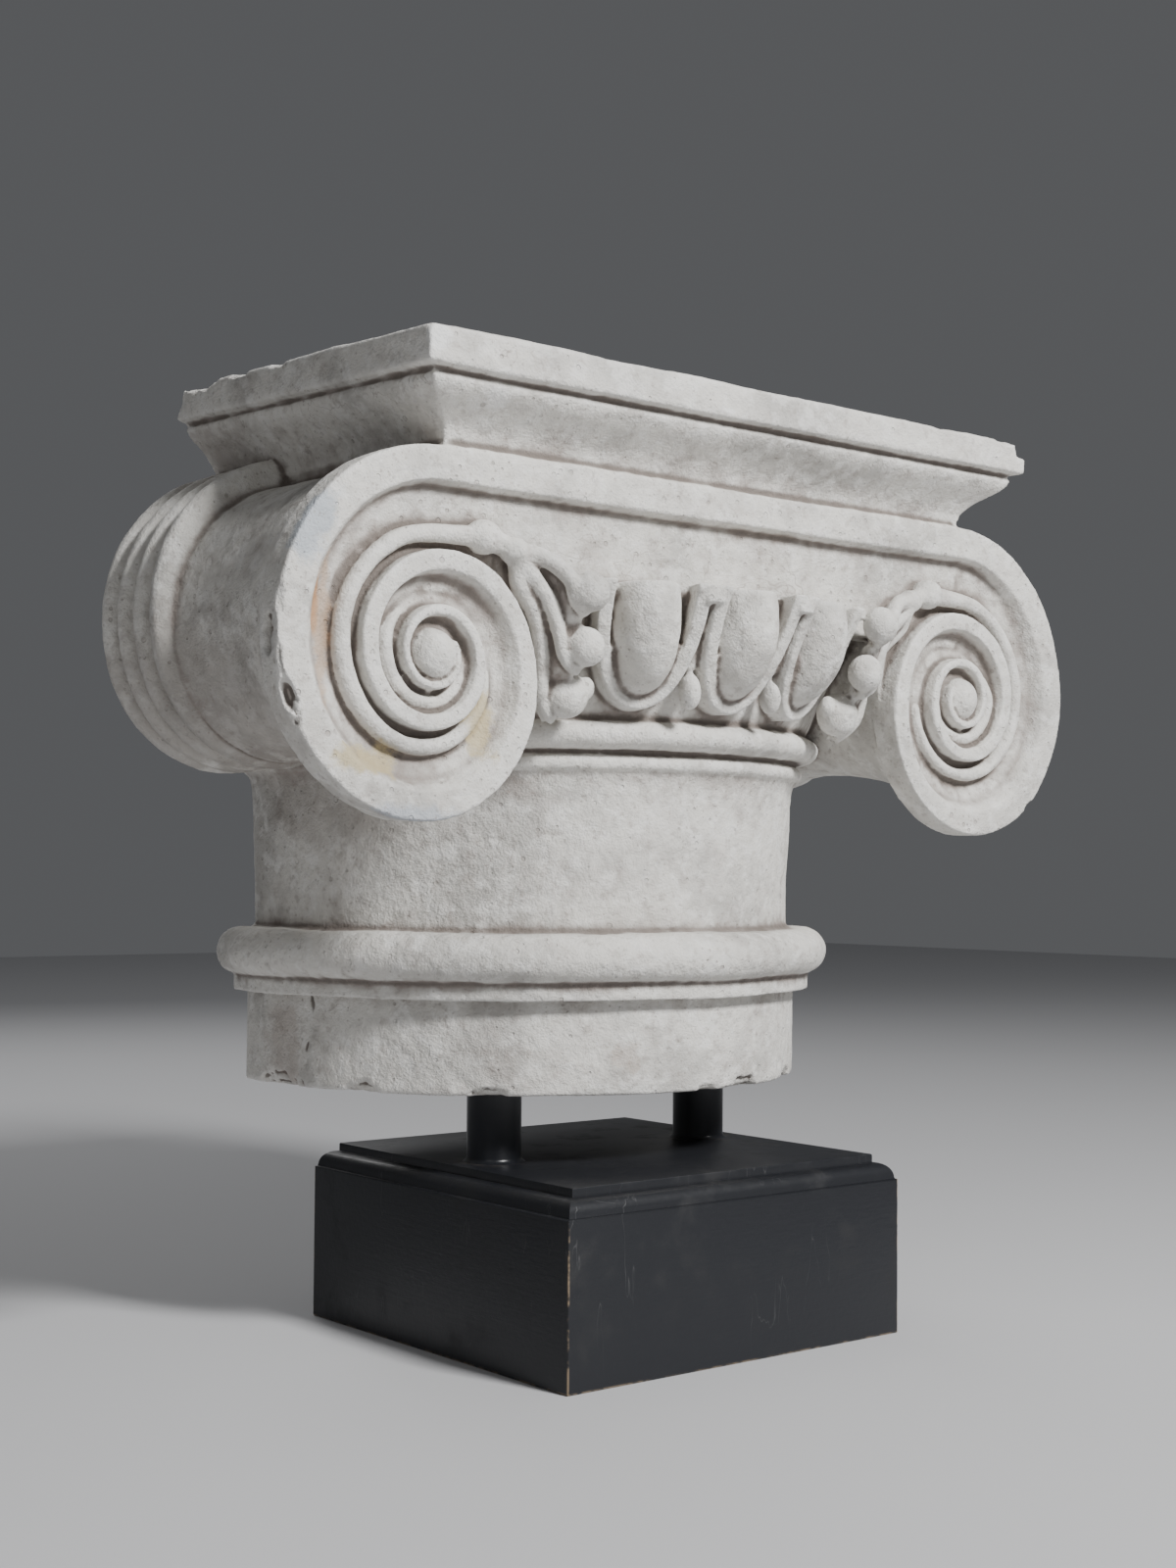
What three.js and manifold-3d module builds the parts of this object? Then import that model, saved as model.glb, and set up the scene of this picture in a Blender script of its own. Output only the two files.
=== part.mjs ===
// Half Ionic capital in cast plaster, cut flat behind for standing against a wall.
// It is held up by two steel posts on a black moulded base block.
//
// Frame: origin at the middle of the base block's underside, +X along the front
// face, +Y to the flat back, +Z up. Millimetres. The volutes face -Y.

import * as THREE from 'three';
import { mergeVertices } from 'three/addons/utils/BufferGeometryUtils.js';
import Module from 'manifold-3d';

const wasm = await Module();
wasm.setup();

// ---------- driving dimensions ----------

// Base block: a square block with a quarter-round top edge and a flat panel on top.
const BASE_SIDE = 300;
const BASE_EDGE_Z = 110;        // where the upright sides end
const BASE_ROUND = 10;          // radius of the quarter-round edge
const BASE_STEP_IN = 3;         // panel edge, in from the round
const BASE_TOP_Z = 126;

// Posts: round steel tube, standing on the block under the capital.
const POST_RADIUS = 19;
const POST_PLACES = { left: [-102, -6], right: [101, 9] };

// Column drum and neck, a body of revolution about an upright axis.
const AXIS_Y = 109;             // axis of the round body, measured from the origin
const BACK_Y = 150;             // flat back, flush with the block
const DRUM_Z = 176;             // underside of the capital
const DRUM_R = 213;
const FILLET_R = 224;           // flat band under the torus
const FILLET_Z = 239;
const TORUS_R = 238;
const TORUS_Z = 268;            // mid height of the large roll
const TORUS_HALF = 16.5;        // half its height
const DRUM_FLARE = 16;          // height in which the drum flares out to its fillet
const TORUS_BULGE = 17;         // how far the torus stands out from its core
const NECK_R = 207.5;
const NECK_FOOT = 35;           // height of the straight stretch above the torus
const NECK_TOP_R = 212;
const NECK_FLARE = 9;
const LIP_R = 219.5;            // small band at the top of the neck
const LIP_Z = 399;
const LIP_HALF = 4;
const ASTRAGAL_R = 232;
const ASTRAGAL_Z = 418;
const ASTRAGAL_HALF = 9.5;
const ASTRAGAL_BULGE = 12;
const BELL_FOOT_R = 228;        // plain bell behind the eggs, widening upwards
const BELL_TOP_R = 262;
const BELL_FOOT_Z = 433;
const BELL_TOP_Z = 515;
const BELL_WAIST = [250, 469];  // a point of the bell's side between foot and top
const ARRIS = 2;                // softened edges of the turned mouldings

// Volutes and the channel between them.
const UNIT = 28.9;              // the volute is eight units high
const EYE_X = 241.5;
const EYE_Z = 458;
const FACE_Y = -134;            // front plane of the volutes
const SLAB = 30;                // thickness of the volute plate behind the face
const CHANNEL = 13;             // depth of the sunk channel below the face
// Outer radius of the scroll in units at each quarter turn, from the top outwards.
const QUARTER_RADII = [4.48, 3.9, 3.52, 2.62, 2.24, 1.88, 1.62, 1.24, 1.06, 0.88, 0.76, 0.62, 0.5];
const BAND_SHARE = 0.18;        // width of the raised band as a share of its radius
const EYE_R = 15;
const EYE_RISE = 14;            // half the depth of the domed eye
const EYE_SINK = 8;             // its centre behind the face
const RIM_DEPTH = 20;           // depth of the scroll's plain outer edge
const RIM_INNER = 0.8;          // inner edge of the rim as a share of its radius
const OUTLINE_QUARTERS = 3;     // the outer outline ends where it meets the body
const FLOOR_QUARTERS = 3.3;
const FLOOR_SHARE = 0.995;      // the floor stays just inside the rim
const CANAL_FOOT_Z = 496;       // the channel floor runs down behind the eggs to here
const CANAL_INNER_X = 168;
const BODY_HALF = 158;          // half width of the block between the bolsters

// Bolsters: the rolls that run back from each volute, tied by a belt at the axis.
const BOLSTER_NECK = 0.95;      // size where the bolster leaves the scroll's edge
const BOLSTER_WAIST = 0.785;    // size of the waist against the volute outline
const BOLSTER_BELT = 0.822;     // size at the crest of the belt rings
const BOLSTER_GROOVE = 0.775;   // size in the grooves between them
const BELT_RINGS = [-37, -12, 12, 37];   // ring crests, from the axis plane
const RING_HALF = 9;
const FLARE_POWER = 5;          // higher makes the bolster flare later and faster
const BOLSTER_STEPS = 7;
const BELT_STEP = 5;

// Abacus: the moulded slab on top. Its foot is level, and its top rises to the back.
const ABACUS_HALF = 272.5;
const ABACUS_FRONT_Y = -166;
const ABACUS_TOP_Z = 651;
const ABACUS_FILLET_Z = 628;
const ABACUS_CYMA_TOP_Z = 623;
const ABACUS_FOOT_Z = 587.5;
const ABACUS_OVERHANG = 28;
const ABACUS_QUIRK = 8;         // the cyma stands this far in under the fillet
const ABACUS_SINK = 0.5;        // the foot runs this far into the block below it
const ABACUS_RECESS = 2;        // the groove between cyma and fillet is this much deeper
const ABACUS_RISE = 15;         // the back edge stands this much higher than the front
const CYMA_STEPS = 8;

// Echinus: three eggs in U-shaped shells, with darts between them.
const EGG_STEP = 17.5;          // degrees between eggs
const EGG_COUNT = 3;
const EGG_R = 250;              // radius on which the eggs are centred
const EGG_Z = 495;
const EGG_HALF_WIDTH = 24;
const EGG_HALF_HEIGHT = 53;
const EGG_RISE = 32;
const SHELL_HALF_WIDTH = 31;
const SHELL_FOOT_Z = 438;
const SHELL_FOOT_R = 234;
const SHELL_TOP_R = 273;
const SHELL_THICK = 5;
const SHELL_POINTS = 6;         // guide points on each side of the U
const SHELL_ROUNDNESS = 2.2;    // 2 is an ellipse, more is squarer
const BUD_Z = 448;
const BUD_R = 246;
const BUD_HALVES = [7, 10, 12]; // half width, half depth and half height of a bud

// Husks: a folded leaf in each corner springs from a knot and ends in three balls.
// Its stem runs back from the knot round the scroll, in the channel.
const HUSK_KNOT = [205, -128, 534];
const HUSK_SPRING = [180, -131, 525];
const HUSK_BALLS = [
  { place: [134, -147, 503], size: 11.5, bow: 8 },
  { place: [129, -136, 469], size: 11.5, bow: 12 },
  { place: [126, -109, 440], size: 14, bow: 8 },
];
const HUSK_STEM = 6;
const KNOT_SIZE = 9;
const STEM_RADII = [78, 74, 72.5, 67, 58, 50];  // from the eye, at each half quarter turn
const STEM_END_QUARTER = 2.5;

const TURN = 2 * Math.PI;
const SEGMENTS = 48;            // facets round the drum
const SPIRAL_STEPS = 5;         // facets in each quarter turn of the scroll
const OVERLAP = 2;              // how far joined forms run into each other
const MARGIN = 60;              // how far cutting solids pass the piece

// ---------- solids ----------

// A closed geometry becomes a solid that can be joined and cut.
function solid(geometry) {
  const bare = geometry.clone();
  bare.deleteAttribute('normal');
  bare.deleteAttribute('uv');
  const merged = mergeVertices(bare, 1e-4);
  return new wasm.Manifold(new wasm.Mesh({
    numProp: 3,
    vertProperties: Float32Array.from(merged.attributes.position.array),
    triVerts: Uint32Array.from(merged.index.array),
  }));
}

function joined(solids) {
  return solids.reduce((whole, part) => whole.add(part));
}

function geometryOf(made) {
  const mesh = made.getMesh();
  const geometry = new THREE.BufferGeometry();
  geometry.setAttribute('position', new THREE.BufferAttribute(mesh.vertProperties, 3));
  geometry.setIndex(new THREE.BufferAttribute(mesh.triVerts, 1));
  geometry.computeVertexNormals();
  return geometry;
}

// A body of revolution about an upright axis, from [radius, z] pairs.
function turned(profile, segments = SEGMENTS) {
  const points = profile.map(([radius, z]) => new THREE.Vector2(radius, z));
  return new THREE.LatheGeometry(points, segments).rotateX(Math.PI / 2);
}

// A quarter or half circle of [radius, z] points about a centre, angles in degrees.
function arc(centre, radii, from, to, steps) {
  const points = [];
  for (let i = 0; i <= steps; i += 1) {
    const angle = THREE.MathUtils.degToRad(from + (to - from) * i / steps);
    points.push([centre[0] + radii[0] * Math.cos(angle), centre[1] + radii[1] * Math.sin(angle)]);
  }
  return points;
}

// A skin over rings of points, closed by a flat face at each end.
// Every ring has the same number of points, anticlockwise seen from the last ring.
function loft(rings) {
  const count = rings[0].length;
  const positions = rings.flat().flatMap((point) => [point.x, point.y, point.z]);
  const index = [];
  for (let ring = 0; ring + 1 < rings.length; ring += 1) {
    for (let i = 0; i < count; i += 1) {
      const a = ring * count + i;
      const b = ring * count + (i + 1) % count;
      index.push(a, b, b + count, a, b + count, a + count);
    }
  }
  const centre = (ring) => ring.reduce((sum, point) => sum.add(point), new THREE.Vector3())
    .divideScalar(count);
  const ends = [centre(rings[0]), centre(rings[rings.length - 1])];
  ends.forEach((point) => positions.push(point.x, point.y, point.z));
  const first = rings.length * count;
  const lastRing = (rings.length - 1) * count;
  for (let i = 0; i < count; i += 1) {
    const next = (i + 1) % count;
    index.push(first, next, i);
    index.push(first + 1, lastRing + i, lastRing + next);
  }
  const geometry = new THREE.BufferGeometry();
  geometry.setAttribute('position', new THREE.Float32BufferAttribute(positions, 3));
  geometry.setIndex(index);
  return geometry;
}

function mirrored(made) {
  return made.mirror([1, 0, 0]);
}

// ---------- base block and posts ----------

function baseBlock() {
  const half = BASE_SIDE / 2;
  const levels = [[half, 0], [half, BASE_EDGE_Z]];
  arc([half - BASE_ROUND, BASE_EDGE_Z], [BASE_ROUND, BASE_ROUND], 18, 90, 4)
    .forEach((level) => levels.push(level));
  levels.push([half - BASE_ROUND - BASE_STEP_IN, BASE_EDGE_Z + BASE_ROUND]);
  levels.push([half - BASE_ROUND - BASE_STEP_IN, BASE_TOP_Z]);
  return loft(levels.map(([reach, z]) => [
    new THREE.Vector3(-reach, -reach, z),
    new THREE.Vector3(reach, -reach, z),
    new THREE.Vector3(reach, reach, z),
    new THREE.Vector3(-reach, reach, z),
  ]));
}

function post() {
  const length = DRUM_Z - BASE_TOP_Z;
  return new THREE.CylinderGeometry(POST_RADIUS, POST_RADIUS, length, 32)
    .rotateX(Math.PI / 2)
    .translate(0, 0, BASE_TOP_Z + length / 2);
}

// ---------- round body ----------

function roundBody() {
  const profile = [
    [0, DRUM_Z],
    [DRUM_R - ARRIS, DRUM_Z],
    [DRUM_R, DRUM_Z + ARRIS],
    [DRUM_R, FILLET_Z - DRUM_FLARE],
    [DRUM_R + ARRIS, FILLET_Z - ARRIS],
    [FILLET_R - ARRIS, FILLET_Z],
    [FILLET_R, FILLET_Z + ARRIS],
    [FILLET_R, TORUS_Z - TORUS_HALF],
    ...arc([TORUS_R - TORUS_BULGE, TORUS_Z], [TORUS_BULGE, TORUS_HALF], -80, 80, 6),
    [NECK_R, TORUS_Z + TORUS_HALF],
    [NECK_R, TORUS_Z + TORUS_HALF + NECK_FOOT],
    [NECK_TOP_R, LIP_Z - NECK_FLARE],
    ...arc([LIP_R - LIP_HALF, LIP_Z], [LIP_HALF, LIP_HALF], -45, 45, 2),
    [LIP_R - LIP_HALF, ASTRAGAL_Z - ASTRAGAL_HALF],
    ...arc([ASTRAGAL_R - ASTRAGAL_BULGE, ASTRAGAL_Z], [ASTRAGAL_BULGE, ASTRAGAL_HALF], -70, 60, 4),
    [BELL_FOOT_R, BELL_FOOT_Z],
    BELL_WAIST,
    [BELL_TOP_R, BELL_TOP_Z],
    [NECK_R, BELL_TOP_Z],
    [NECK_R, ABACUS_FOOT_Z + OVERLAP],
    [0, ABACUS_FOOT_Z + OVERLAP],
  ];
  return solid(turned(profile).translate(0, AXIS_Y, 0));
}

// ---------- echinus ----------

// Stands a shape that is modelled facing -Y at the axis out on the bell.
function onBell(geometry, degrees, radius, z) {
  return geometry.translate(0, -radius, z)
    .rotateZ(THREE.MathUtils.degToRad(degrees))
    .translate(0, AXIS_Y, 0);
}

function egg(degrees) {
  const ball = new THREE.SphereGeometry(1, 12, 10).rotateX(Math.PI / 2)
    .scale(EGG_HALF_WIDTH, EGG_RISE, EGG_HALF_HEIGHT);
  return solid(onBell(ball, degrees, EGG_R, EGG_Z));
}

// A tube along a smooth curve through a few points.
function roll(points, radius, steps, sides) {
  const section = new THREE.Shape();
  section.absellipse(0, 0, radius, radius, 0, TURN);
  return new THREE.ExtrudeGeometry(section, {
    steps, extrudePath: new THREE.CatmullRomCurve3(points), curveSegments: sides, bevelEnabled: false,
  });
}

// The shell is a raised U-shaped rim that runs down one side of the egg and up the other.
function shell(degrees) {
  const points = [];
  for (let i = -SHELL_POINTS; i <= SHELL_POINTS; i += 1) {
    const rise = (Math.abs(i) / SHELL_POINTS) ** 2;
    const width = SHELL_HALF_WIDTH * Math.sqrt(1 - (1 - rise) ** SHELL_ROUNDNESS);
    const lean = THREE.MathUtils.lerp(SHELL_FOOT_R, SHELL_TOP_R, rise) - EGG_R;
    points.push(new THREE.Vector3(
      Math.sign(i) * width, -lean, THREE.MathUtils.lerp(SHELL_FOOT_Z, BELL_TOP_Z + SHELL_THICK, rise),
    ));
  }
  return solid(onBell(roll(points, SHELL_THICK, 14, 3), degrees, EGG_R, 0));
}

// A dart lies between two shells and ends in a bud.
function dart(degrees) {
  const bud = new THREE.SphereGeometry(1, 10, 8).rotateX(Math.PI / 2).scale(...BUD_HALVES);
  return solid(onBell(bud, degrees, BUD_R, BUD_Z));
}

function echinus() {
  const parts = [];
  for (let i = 0; i < EGG_COUNT; i += 1) {
    const degrees = EGG_STEP * (i - (EGG_COUNT - 1) / 2);
    parts.push(egg(degrees), shell(degrees));
    if (i > 0) parts.push(dart(degrees - EGG_STEP / 2));
  }
  const above = box(
    new THREE.Vector3(-DRUM_R, AXIS_Y - EGG_R - MARGIN, BELL_TOP_Z),
    new THREE.Vector3(DRUM_R, AXIS_Y, ABACUS_FOOT_Z),
  );
  return joined(parts).subtract(above);
}

// ---------- volutes ----------

// Outer radius of the right-hand scroll after a number of quarter turns.
function scrollRadius(quarters) {
  const last = QUARTER_RADII.length - 1;
  const index = Math.min(Math.floor(quarters), last - 1);
  const share = quarters - index;
  const at = (i) => Math.log(QUARTER_RADII[THREE.MathUtils.clamp(i, 0, last)]);
  const before = at(index - 1);
  const here = at(index);
  const next = at(index + 1);
  const after = at(index + 2);
  const curve = here + 0.5 * share * (next - before + share * (2 * before - 5 * here
    + 4 * next - after + share * (3 * (here - next) + after - before)));
  return UNIT * Math.exp(curve);
}

// Points along the scroll, clockwise from its top, about the eye of the right volute.
function scroll(from, to, share) {
  const points = [];
  const steps = Math.round((to - from) * SPIRAL_STEPS);
  for (let i = 0; i <= steps; i += 1) {
    const quarters = from + (to - from) * i / steps;
    const radius = scrollRadius(quarters) * share;
    const angle = Math.PI / 2 * (1 - quarters);
    points.push(new THREE.Vector2(EYE_X + radius * Math.cos(angle), EYE_Z + radius * Math.sin(angle)));
  }
  return points;
}

// A flat shape in X and Z, thickened from a front plane to a back plane.
function plate(points, front, back) {
  const shape = new THREE.Shape(points);
  const slab = new THREE.ExtrudeGeometry(shape, { depth: back - front, bevelEnabled: false });
  return solid(slab.rotateX(Math.PI / 2).translate(0, back, 0));
}

// Half of the front: the sunk floor of the channel, the raised band and the eye.
function volute() {
  const lastQuarter = QUARTER_RADII.length - 1;
  const sunk = FACE_Y + CHANNEL;
  const top = EYE_Z + scrollRadius(0);
  const inner = 1 - BAND_SHARE;
  const floor = plate([
    new THREE.Vector2(-1, top),
    ...scroll(0, FLOOR_QUARTERS, FLOOR_SHARE),
    new THREE.Vector2(CANAL_INNER_X, CANAL_FOOT_Z),
    new THREE.Vector2(-1, CANAL_FOOT_Z),
  ], sunk, FACE_Y + SLAB);
  const rim = plate([
    new THREE.Vector2(-1, top),
    ...scroll(0, OUTLINE_QUARTERS, 1),
    ...scroll(0, OUTLINE_QUARTERS, RIM_INNER).reverse(),
    new THREE.Vector2(-1, EYE_Z + scrollRadius(0) * RIM_INNER),
  ], sunk - OVERLAP, FACE_Y + RIM_DEPTH);
  const band = plate([
    new THREE.Vector2(-1, top),
    ...scroll(0, lastQuarter, 1),
    ...scroll(0, lastQuarter, inner).reverse(),
    new THREE.Vector2(-1, EYE_Z + scrollRadius(0) * inner),
  ], FACE_Y, sunk + OVERLAP);
  const dome = new THREE.SphereGeometry(1, 12, 8).rotateX(Math.PI / 2)
    .scale(EYE_R, EYE_RISE, EYE_R)
    .translate(EYE_X, FACE_Y + EYE_SINK, EYE_Z);
  return joined([floor, rim, band, solid(dome)]);
}

// ---------- bolsters ----------

// Size of the bolster against the volute outline at a distance from the axis plane.
function bolsterSize(offset) {
  const distance = Math.abs(offset);
  const belt = BELT_RINGS[BELT_RINGS.length - 1];
  if (distance <= belt) {
    const off = Math.min(...BELT_RINGS.map((crest) => Math.abs(offset - crest)));
    const rise = Math.sqrt(Math.max(0, 1 - (off / RING_HALF) ** 2));
    return THREE.MathUtils.lerp(BOLSTER_GROOVE, BOLSTER_BELT, rise);
  }
  const share = (distance - belt) / (AXIS_Y - FACE_Y - RIM_DEPTH - belt);
  const flare = (BOLSTER_BELT - BOLSTER_WAIST) * (1 - share) ** FLARE_POWER;
  return BOLSTER_WAIST + flare + (BOLSTER_NECK - BOLSTER_WAIST) * share ** FLARE_POWER;
}

function bolster() {
  const pivot = new THREE.Vector2(BODY_HALF, EYE_Z + scrollRadius(0));
  const outline = [pivot, ...scroll(0, OUTLINE_QUARTERS, 1)];
  const start = FACE_Y + RIM_DEPTH - OVERLAP - AXIS_Y;
  const end = BACK_Y - AXIS_Y;
  const offsets = [];
  for (let i = 0; i <= BOLSTER_STEPS; i += 1) {
    offsets.push(start + (BELT_RINGS[0] - start) * i / BOLSTER_STEPS);
  }
  for (let offset = BELT_RINGS[0] + BELT_STEP; offset < end; offset += BELT_STEP) {
    offsets.push(offset);
  }
  offsets.push(end);
  const rings = offsets.map((offset) => {
    const size = bolsterSize(Math.max(offset, FACE_Y + RIM_DEPTH - AXIS_Y));
    return outline.map((point) => new THREE.Vector3(
      pivot.x + (point.x - pivot.x) * size,
      AXIS_Y + offset,
      pivot.y + (point.y - pivot.y) * size,
    ));
  });
  return solid(loft(rings));
}

// ---------- abacus ----------

function abacus() {
  // Each level is its inset under the slab's edge, its height and its rise at the back.
  const levels = [[ABACUS_OVERHANG, ABACUS_FOOT_Z - ABACUS_SINK, 0]];
  for (let i = 0; i <= CYMA_STEPS; i += 1) {
    const share = i / CYMA_STEPS;
    const inset = ABACUS_OVERHANG * (1 - THREE.MathUtils.smoothstep(share, 0, 1));
    const z = THREE.MathUtils.lerp(ABACUS_FOOT_Z, ABACUS_CYMA_TOP_Z, share);
    levels.push([inset + ABACUS_QUIRK, z, ABACUS_RISE]);
  }
  const recess = ABACUS_QUIRK + ABACUS_RECESS;
  levels.push([recess, ABACUS_CYMA_TOP_Z + ABACUS_RECESS / 2, ABACUS_RISE]);
  levels.push([recess, ABACUS_FILLET_Z - ABACUS_RECESS / 2, ABACUS_RISE]);
  levels.push([0, ABACUS_FILLET_Z, ABACUS_RISE]);
  levels.push([0, ABACUS_TOP_Z, ABACUS_RISE]);
  return solid(loft(levels.map(([inset, z, rise]) => {
    const half = ABACUS_HALF - inset;
    const front = ABACUS_FRONT_Y + inset;
    return [
      new THREE.Vector3(-half, front, z),
      new THREE.Vector3(half, front, z),
      new THREE.Vector3(half, BACK_Y, z + rise),
      new THREE.Vector3(-half, BACK_Y, z + rise),
    ];
  })));
}

// ---------- husks ----------

function husk() {
  const knot = new THREE.Vector3(...HUSK_KNOT);
  const spring = new THREE.Vector3(...HUSK_SPRING);
  const stem = STEM_RADII.map((radius, i) => {
    const angle = Math.PI / 2 * (1 - STEM_END_QUARTER * i / (STEM_RADII.length - 1));
    return new THREE.Vector3(
      EYE_X + radius * Math.cos(angle), FACE_Y + HUSK_STEM, EYE_Z + radius * Math.sin(angle),
    );
  });
  const parts = [
    solid(new THREE.SphereGeometry(KNOT_SIZE, 8, 6).translate(...HUSK_KNOT)),
    solid(roll([knot, ...stem], HUSK_STEM, 15, 3)),
  ];
  HUSK_BALLS.forEach(({ place, size, bow }) => {
    const ball = new THREE.Vector3(...place);
    const middle = new THREE.Vector3().lerpVectors(spring, ball, 0.5);
    middle.x += bow;
    parts.push(solid(roll([knot, spring, middle, ball], HUSK_STEM, 5, 3)));
    parts.push(solid(new THREE.SphereGeometry(size, 9, 6).translate(...place)));
  });
  return joined(parts);
}

// ---------- capital ----------

function box(low, high) {
  const size = new THREE.Vector3().subVectors(high, low);
  const middle = new THREE.Vector3().addVectors(low, high).multiplyScalar(0.5);
  return solid(new THREE.BoxGeometry(size.x, size.y, size.z)
    .translate(middle.x, middle.y, middle.z));
}

function capital() {
  const body = box(
    new THREE.Vector3(-BODY_HALF - OVERLAP, FACE_Y + SLAB - OVERLAP, CANAL_FOOT_Z + OVERLAP),
    new THREE.Vector3(BODY_HALF + OVERLAP, BACK_Y, ABACUS_FOOT_Z + OVERLAP),
  );
  const behind = box(
    new THREE.Vector3(-ABACUS_HALF - MARGIN, BACK_Y, DRUM_Z - MARGIN),
    new THREE.Vector3(ABACUS_HALF + MARGIN, BACK_Y + 2 * DRUM_R, ABACUS_TOP_Z + MARGIN),
  );
  const right = joined([volute(), bolster(), husk()]);
  const whole = joined([roundBody(), body, right, mirrored(right), abacus(), echinus()]);
  return geometryOf(whole.subtract(behind));
}

// ---------- the object ----------

const plaster = new THREE.MeshStandardMaterial({ color: 0xd2cdc4, roughness: 0.9, metalness: 0 });
const blackPaint = new THREE.MeshStandardMaterial({ color: 0x121316, roughness: 0.45, metalness: 0 });
const blackSteel = new THREE.MeshStandardMaterial({ color: 0x15161a, roughness: 0.4, metalness: 0.6 });

function piece(name, geometry, material, [x, y] = [0, 0]) {
  const mesh = new THREE.Mesh(geometry, material);
  mesh.name = name;
  mesh.position.set(x, y, 0);
  return mesh;
}

const object = new THREE.Group();
object.add(
  piece('capital', capital(), plaster),
  piece('mount_post_left', post(), blackSteel, POST_PLACES.left),
  piece('mount_post_right', post(), blackSteel, POST_PLACES.right),
  piece('base_block', baseBlock(), blackPaint),
);

export default object;
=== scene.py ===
# %% [markdown]
# # A half Ionic capital on its stand
# The object is a plaster cast of half an Ionic capital. It was cut flat behind, so that it
# can stand against a wall, and two black steel posts hold it over a black painted block.
# The lesson goes from the large forms to the small ones: the turned column drum, the slab
# on top, the side rolls, the scrolls, the eggs, then damage, and last the finishes.

# %% Load the frame
import math
import bpy
import numpy as np
from mathutils import Matrix, Vector
from mathutils.kdtree import KDTree


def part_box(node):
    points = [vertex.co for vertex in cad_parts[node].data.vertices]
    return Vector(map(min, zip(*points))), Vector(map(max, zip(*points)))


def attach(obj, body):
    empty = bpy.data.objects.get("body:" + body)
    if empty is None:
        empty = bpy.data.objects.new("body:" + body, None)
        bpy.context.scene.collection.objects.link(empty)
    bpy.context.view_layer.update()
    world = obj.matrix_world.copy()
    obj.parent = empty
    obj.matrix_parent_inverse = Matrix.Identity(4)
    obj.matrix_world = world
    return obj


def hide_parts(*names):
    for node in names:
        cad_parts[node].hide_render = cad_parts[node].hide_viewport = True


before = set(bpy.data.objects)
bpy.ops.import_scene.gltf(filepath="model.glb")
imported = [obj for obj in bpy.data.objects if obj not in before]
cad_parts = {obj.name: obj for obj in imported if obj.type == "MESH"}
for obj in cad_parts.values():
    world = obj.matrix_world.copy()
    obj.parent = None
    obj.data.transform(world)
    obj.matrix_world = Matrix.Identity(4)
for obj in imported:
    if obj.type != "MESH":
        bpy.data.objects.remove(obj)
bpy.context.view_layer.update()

# %% [markdown]
# Everything is measured in metres from the middle of the block's underside: +X runs along
# the front, +Y to the flat back, +Z up. The heights of the large pieces come from the
# frame, so the finished surfaces sit exactly where the solid model says.

# %% Driving sizes
MM = 0.001
capital_low, capital_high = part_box("capital")
block_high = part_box("base_block")[1]
BACK_Y = capital_high.y
FOOT_Z = capital_low.z
AXIS_Y = BACK_Y - 41 * MM          # upright axis of the round drum
UNIT = 28.9 * MM                   # a volute is eight units high
EYE_X = 241.5 * MM
EYE_Z = 458 * MM
FACE_Y = -134 * MM                 # front plane of the volutes
ABACUS_FRONT = -166 * MM
ABACUS_HALF = 272.5 * MM
ABACUS_FOOT_Z = 587.5 * MM
ABACUS_TOP_Z = 651 * MM
ABACUS_RISE = capital_high.z - ABACUS_TOP_Z      # the slab's top climbs to the back
BELL_FOOT_Z = 433 * MM
BELL_TOP_Z = 515 * MM
FULL = 2 * math.pi
print("capital from z", round(FOOT_Z, 4), "to", round(capital_high.z, 4))

# %% [markdown]
# ## The camera
# A long lens stands at the left front, a little below the volutes' eyes, so the front
# and the left side both show. The lens is level apart from a slight upward look.

# %% Camera
CAMERA_PLACE = (-0.9687, -1.1764, 0.3268)
CAMERA_TURN = math.radians(39.01)
CAMERA_LIFT = math.radians(2.37)
CAMERA_ROLL = math.radians(0.42)
CAMERA_LENS = 48.0

camera_data = bpy.data.cameras.new("camera")
camera_data.lens = CAMERA_LENS
camera_data.sensor_width = 36
camera = bpy.data.objects.new("camera", camera_data)
bpy.context.collection.objects.link(camera)
camera.matrix_world = (
    Matrix.Translation(CAMERA_PLACE)
    @ Matrix.Rotation(-CAMERA_TURN, 4, "Z")
    @ Matrix.Rotation(math.pi / 2 + CAMERA_LIFT, 4, "X")
    @ Matrix.Rotation(CAMERA_ROLL, 4, "Z")
)
bpy.context.scene.camera = camera
print("camera at", CAMERA_PLACE)

# %% [markdown]
# ## Working habits
# An operator acts on all that is selected, so one helper always leaves exactly one piece
# selected, and another lays a finished piece's place into its mesh. Three more make what
# comes again and again: a step of an extrusion that is scaled as it goes, a ball and a box.

# %% Helpers for operators
def only(piece):
    if bpy.context.object and bpy.context.object.mode == "EDIT":
        bpy.ops.object.mode_set(mode="OBJECT")
    bpy.ops.object.select_all(action="DESELECT")
    piece.select_set(True)
    bpy.context.view_layer.objects.active = piece


def edit_all(piece):
    only(piece)
    bpy.ops.object.mode_set(mode="EDIT")
    bpy.ops.mesh.select_all(action="SELECT")


def close_up(piece, reach=0.02 * MM):
    """Merges doubles, then turns every face outwards."""
    edit_all(piece)
    bpy.ops.mesh.remove_doubles(threshold=reach)
    bpy.ops.mesh.normals_make_consistent(inside=False)
    bpy.ops.object.mode_set(mode="OBJECT")


def settle(piece):
    only(piece)
    bpy.ops.object.transform_apply(location=True, rotation=True, scale=True)


def apply_modifier(piece, kind, **settings):
    only(piece)
    modifier = piece.modifiers.new(kind.title(), kind)
    for name, value in settings.items():
        setattr(modifier, name, value)
    bpy.ops.object.modifier_apply(modifier=modifier.name)


def count(piece):
    faces = len(piece.data.polygons)
    print(piece.name, faces, "faces")


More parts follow.
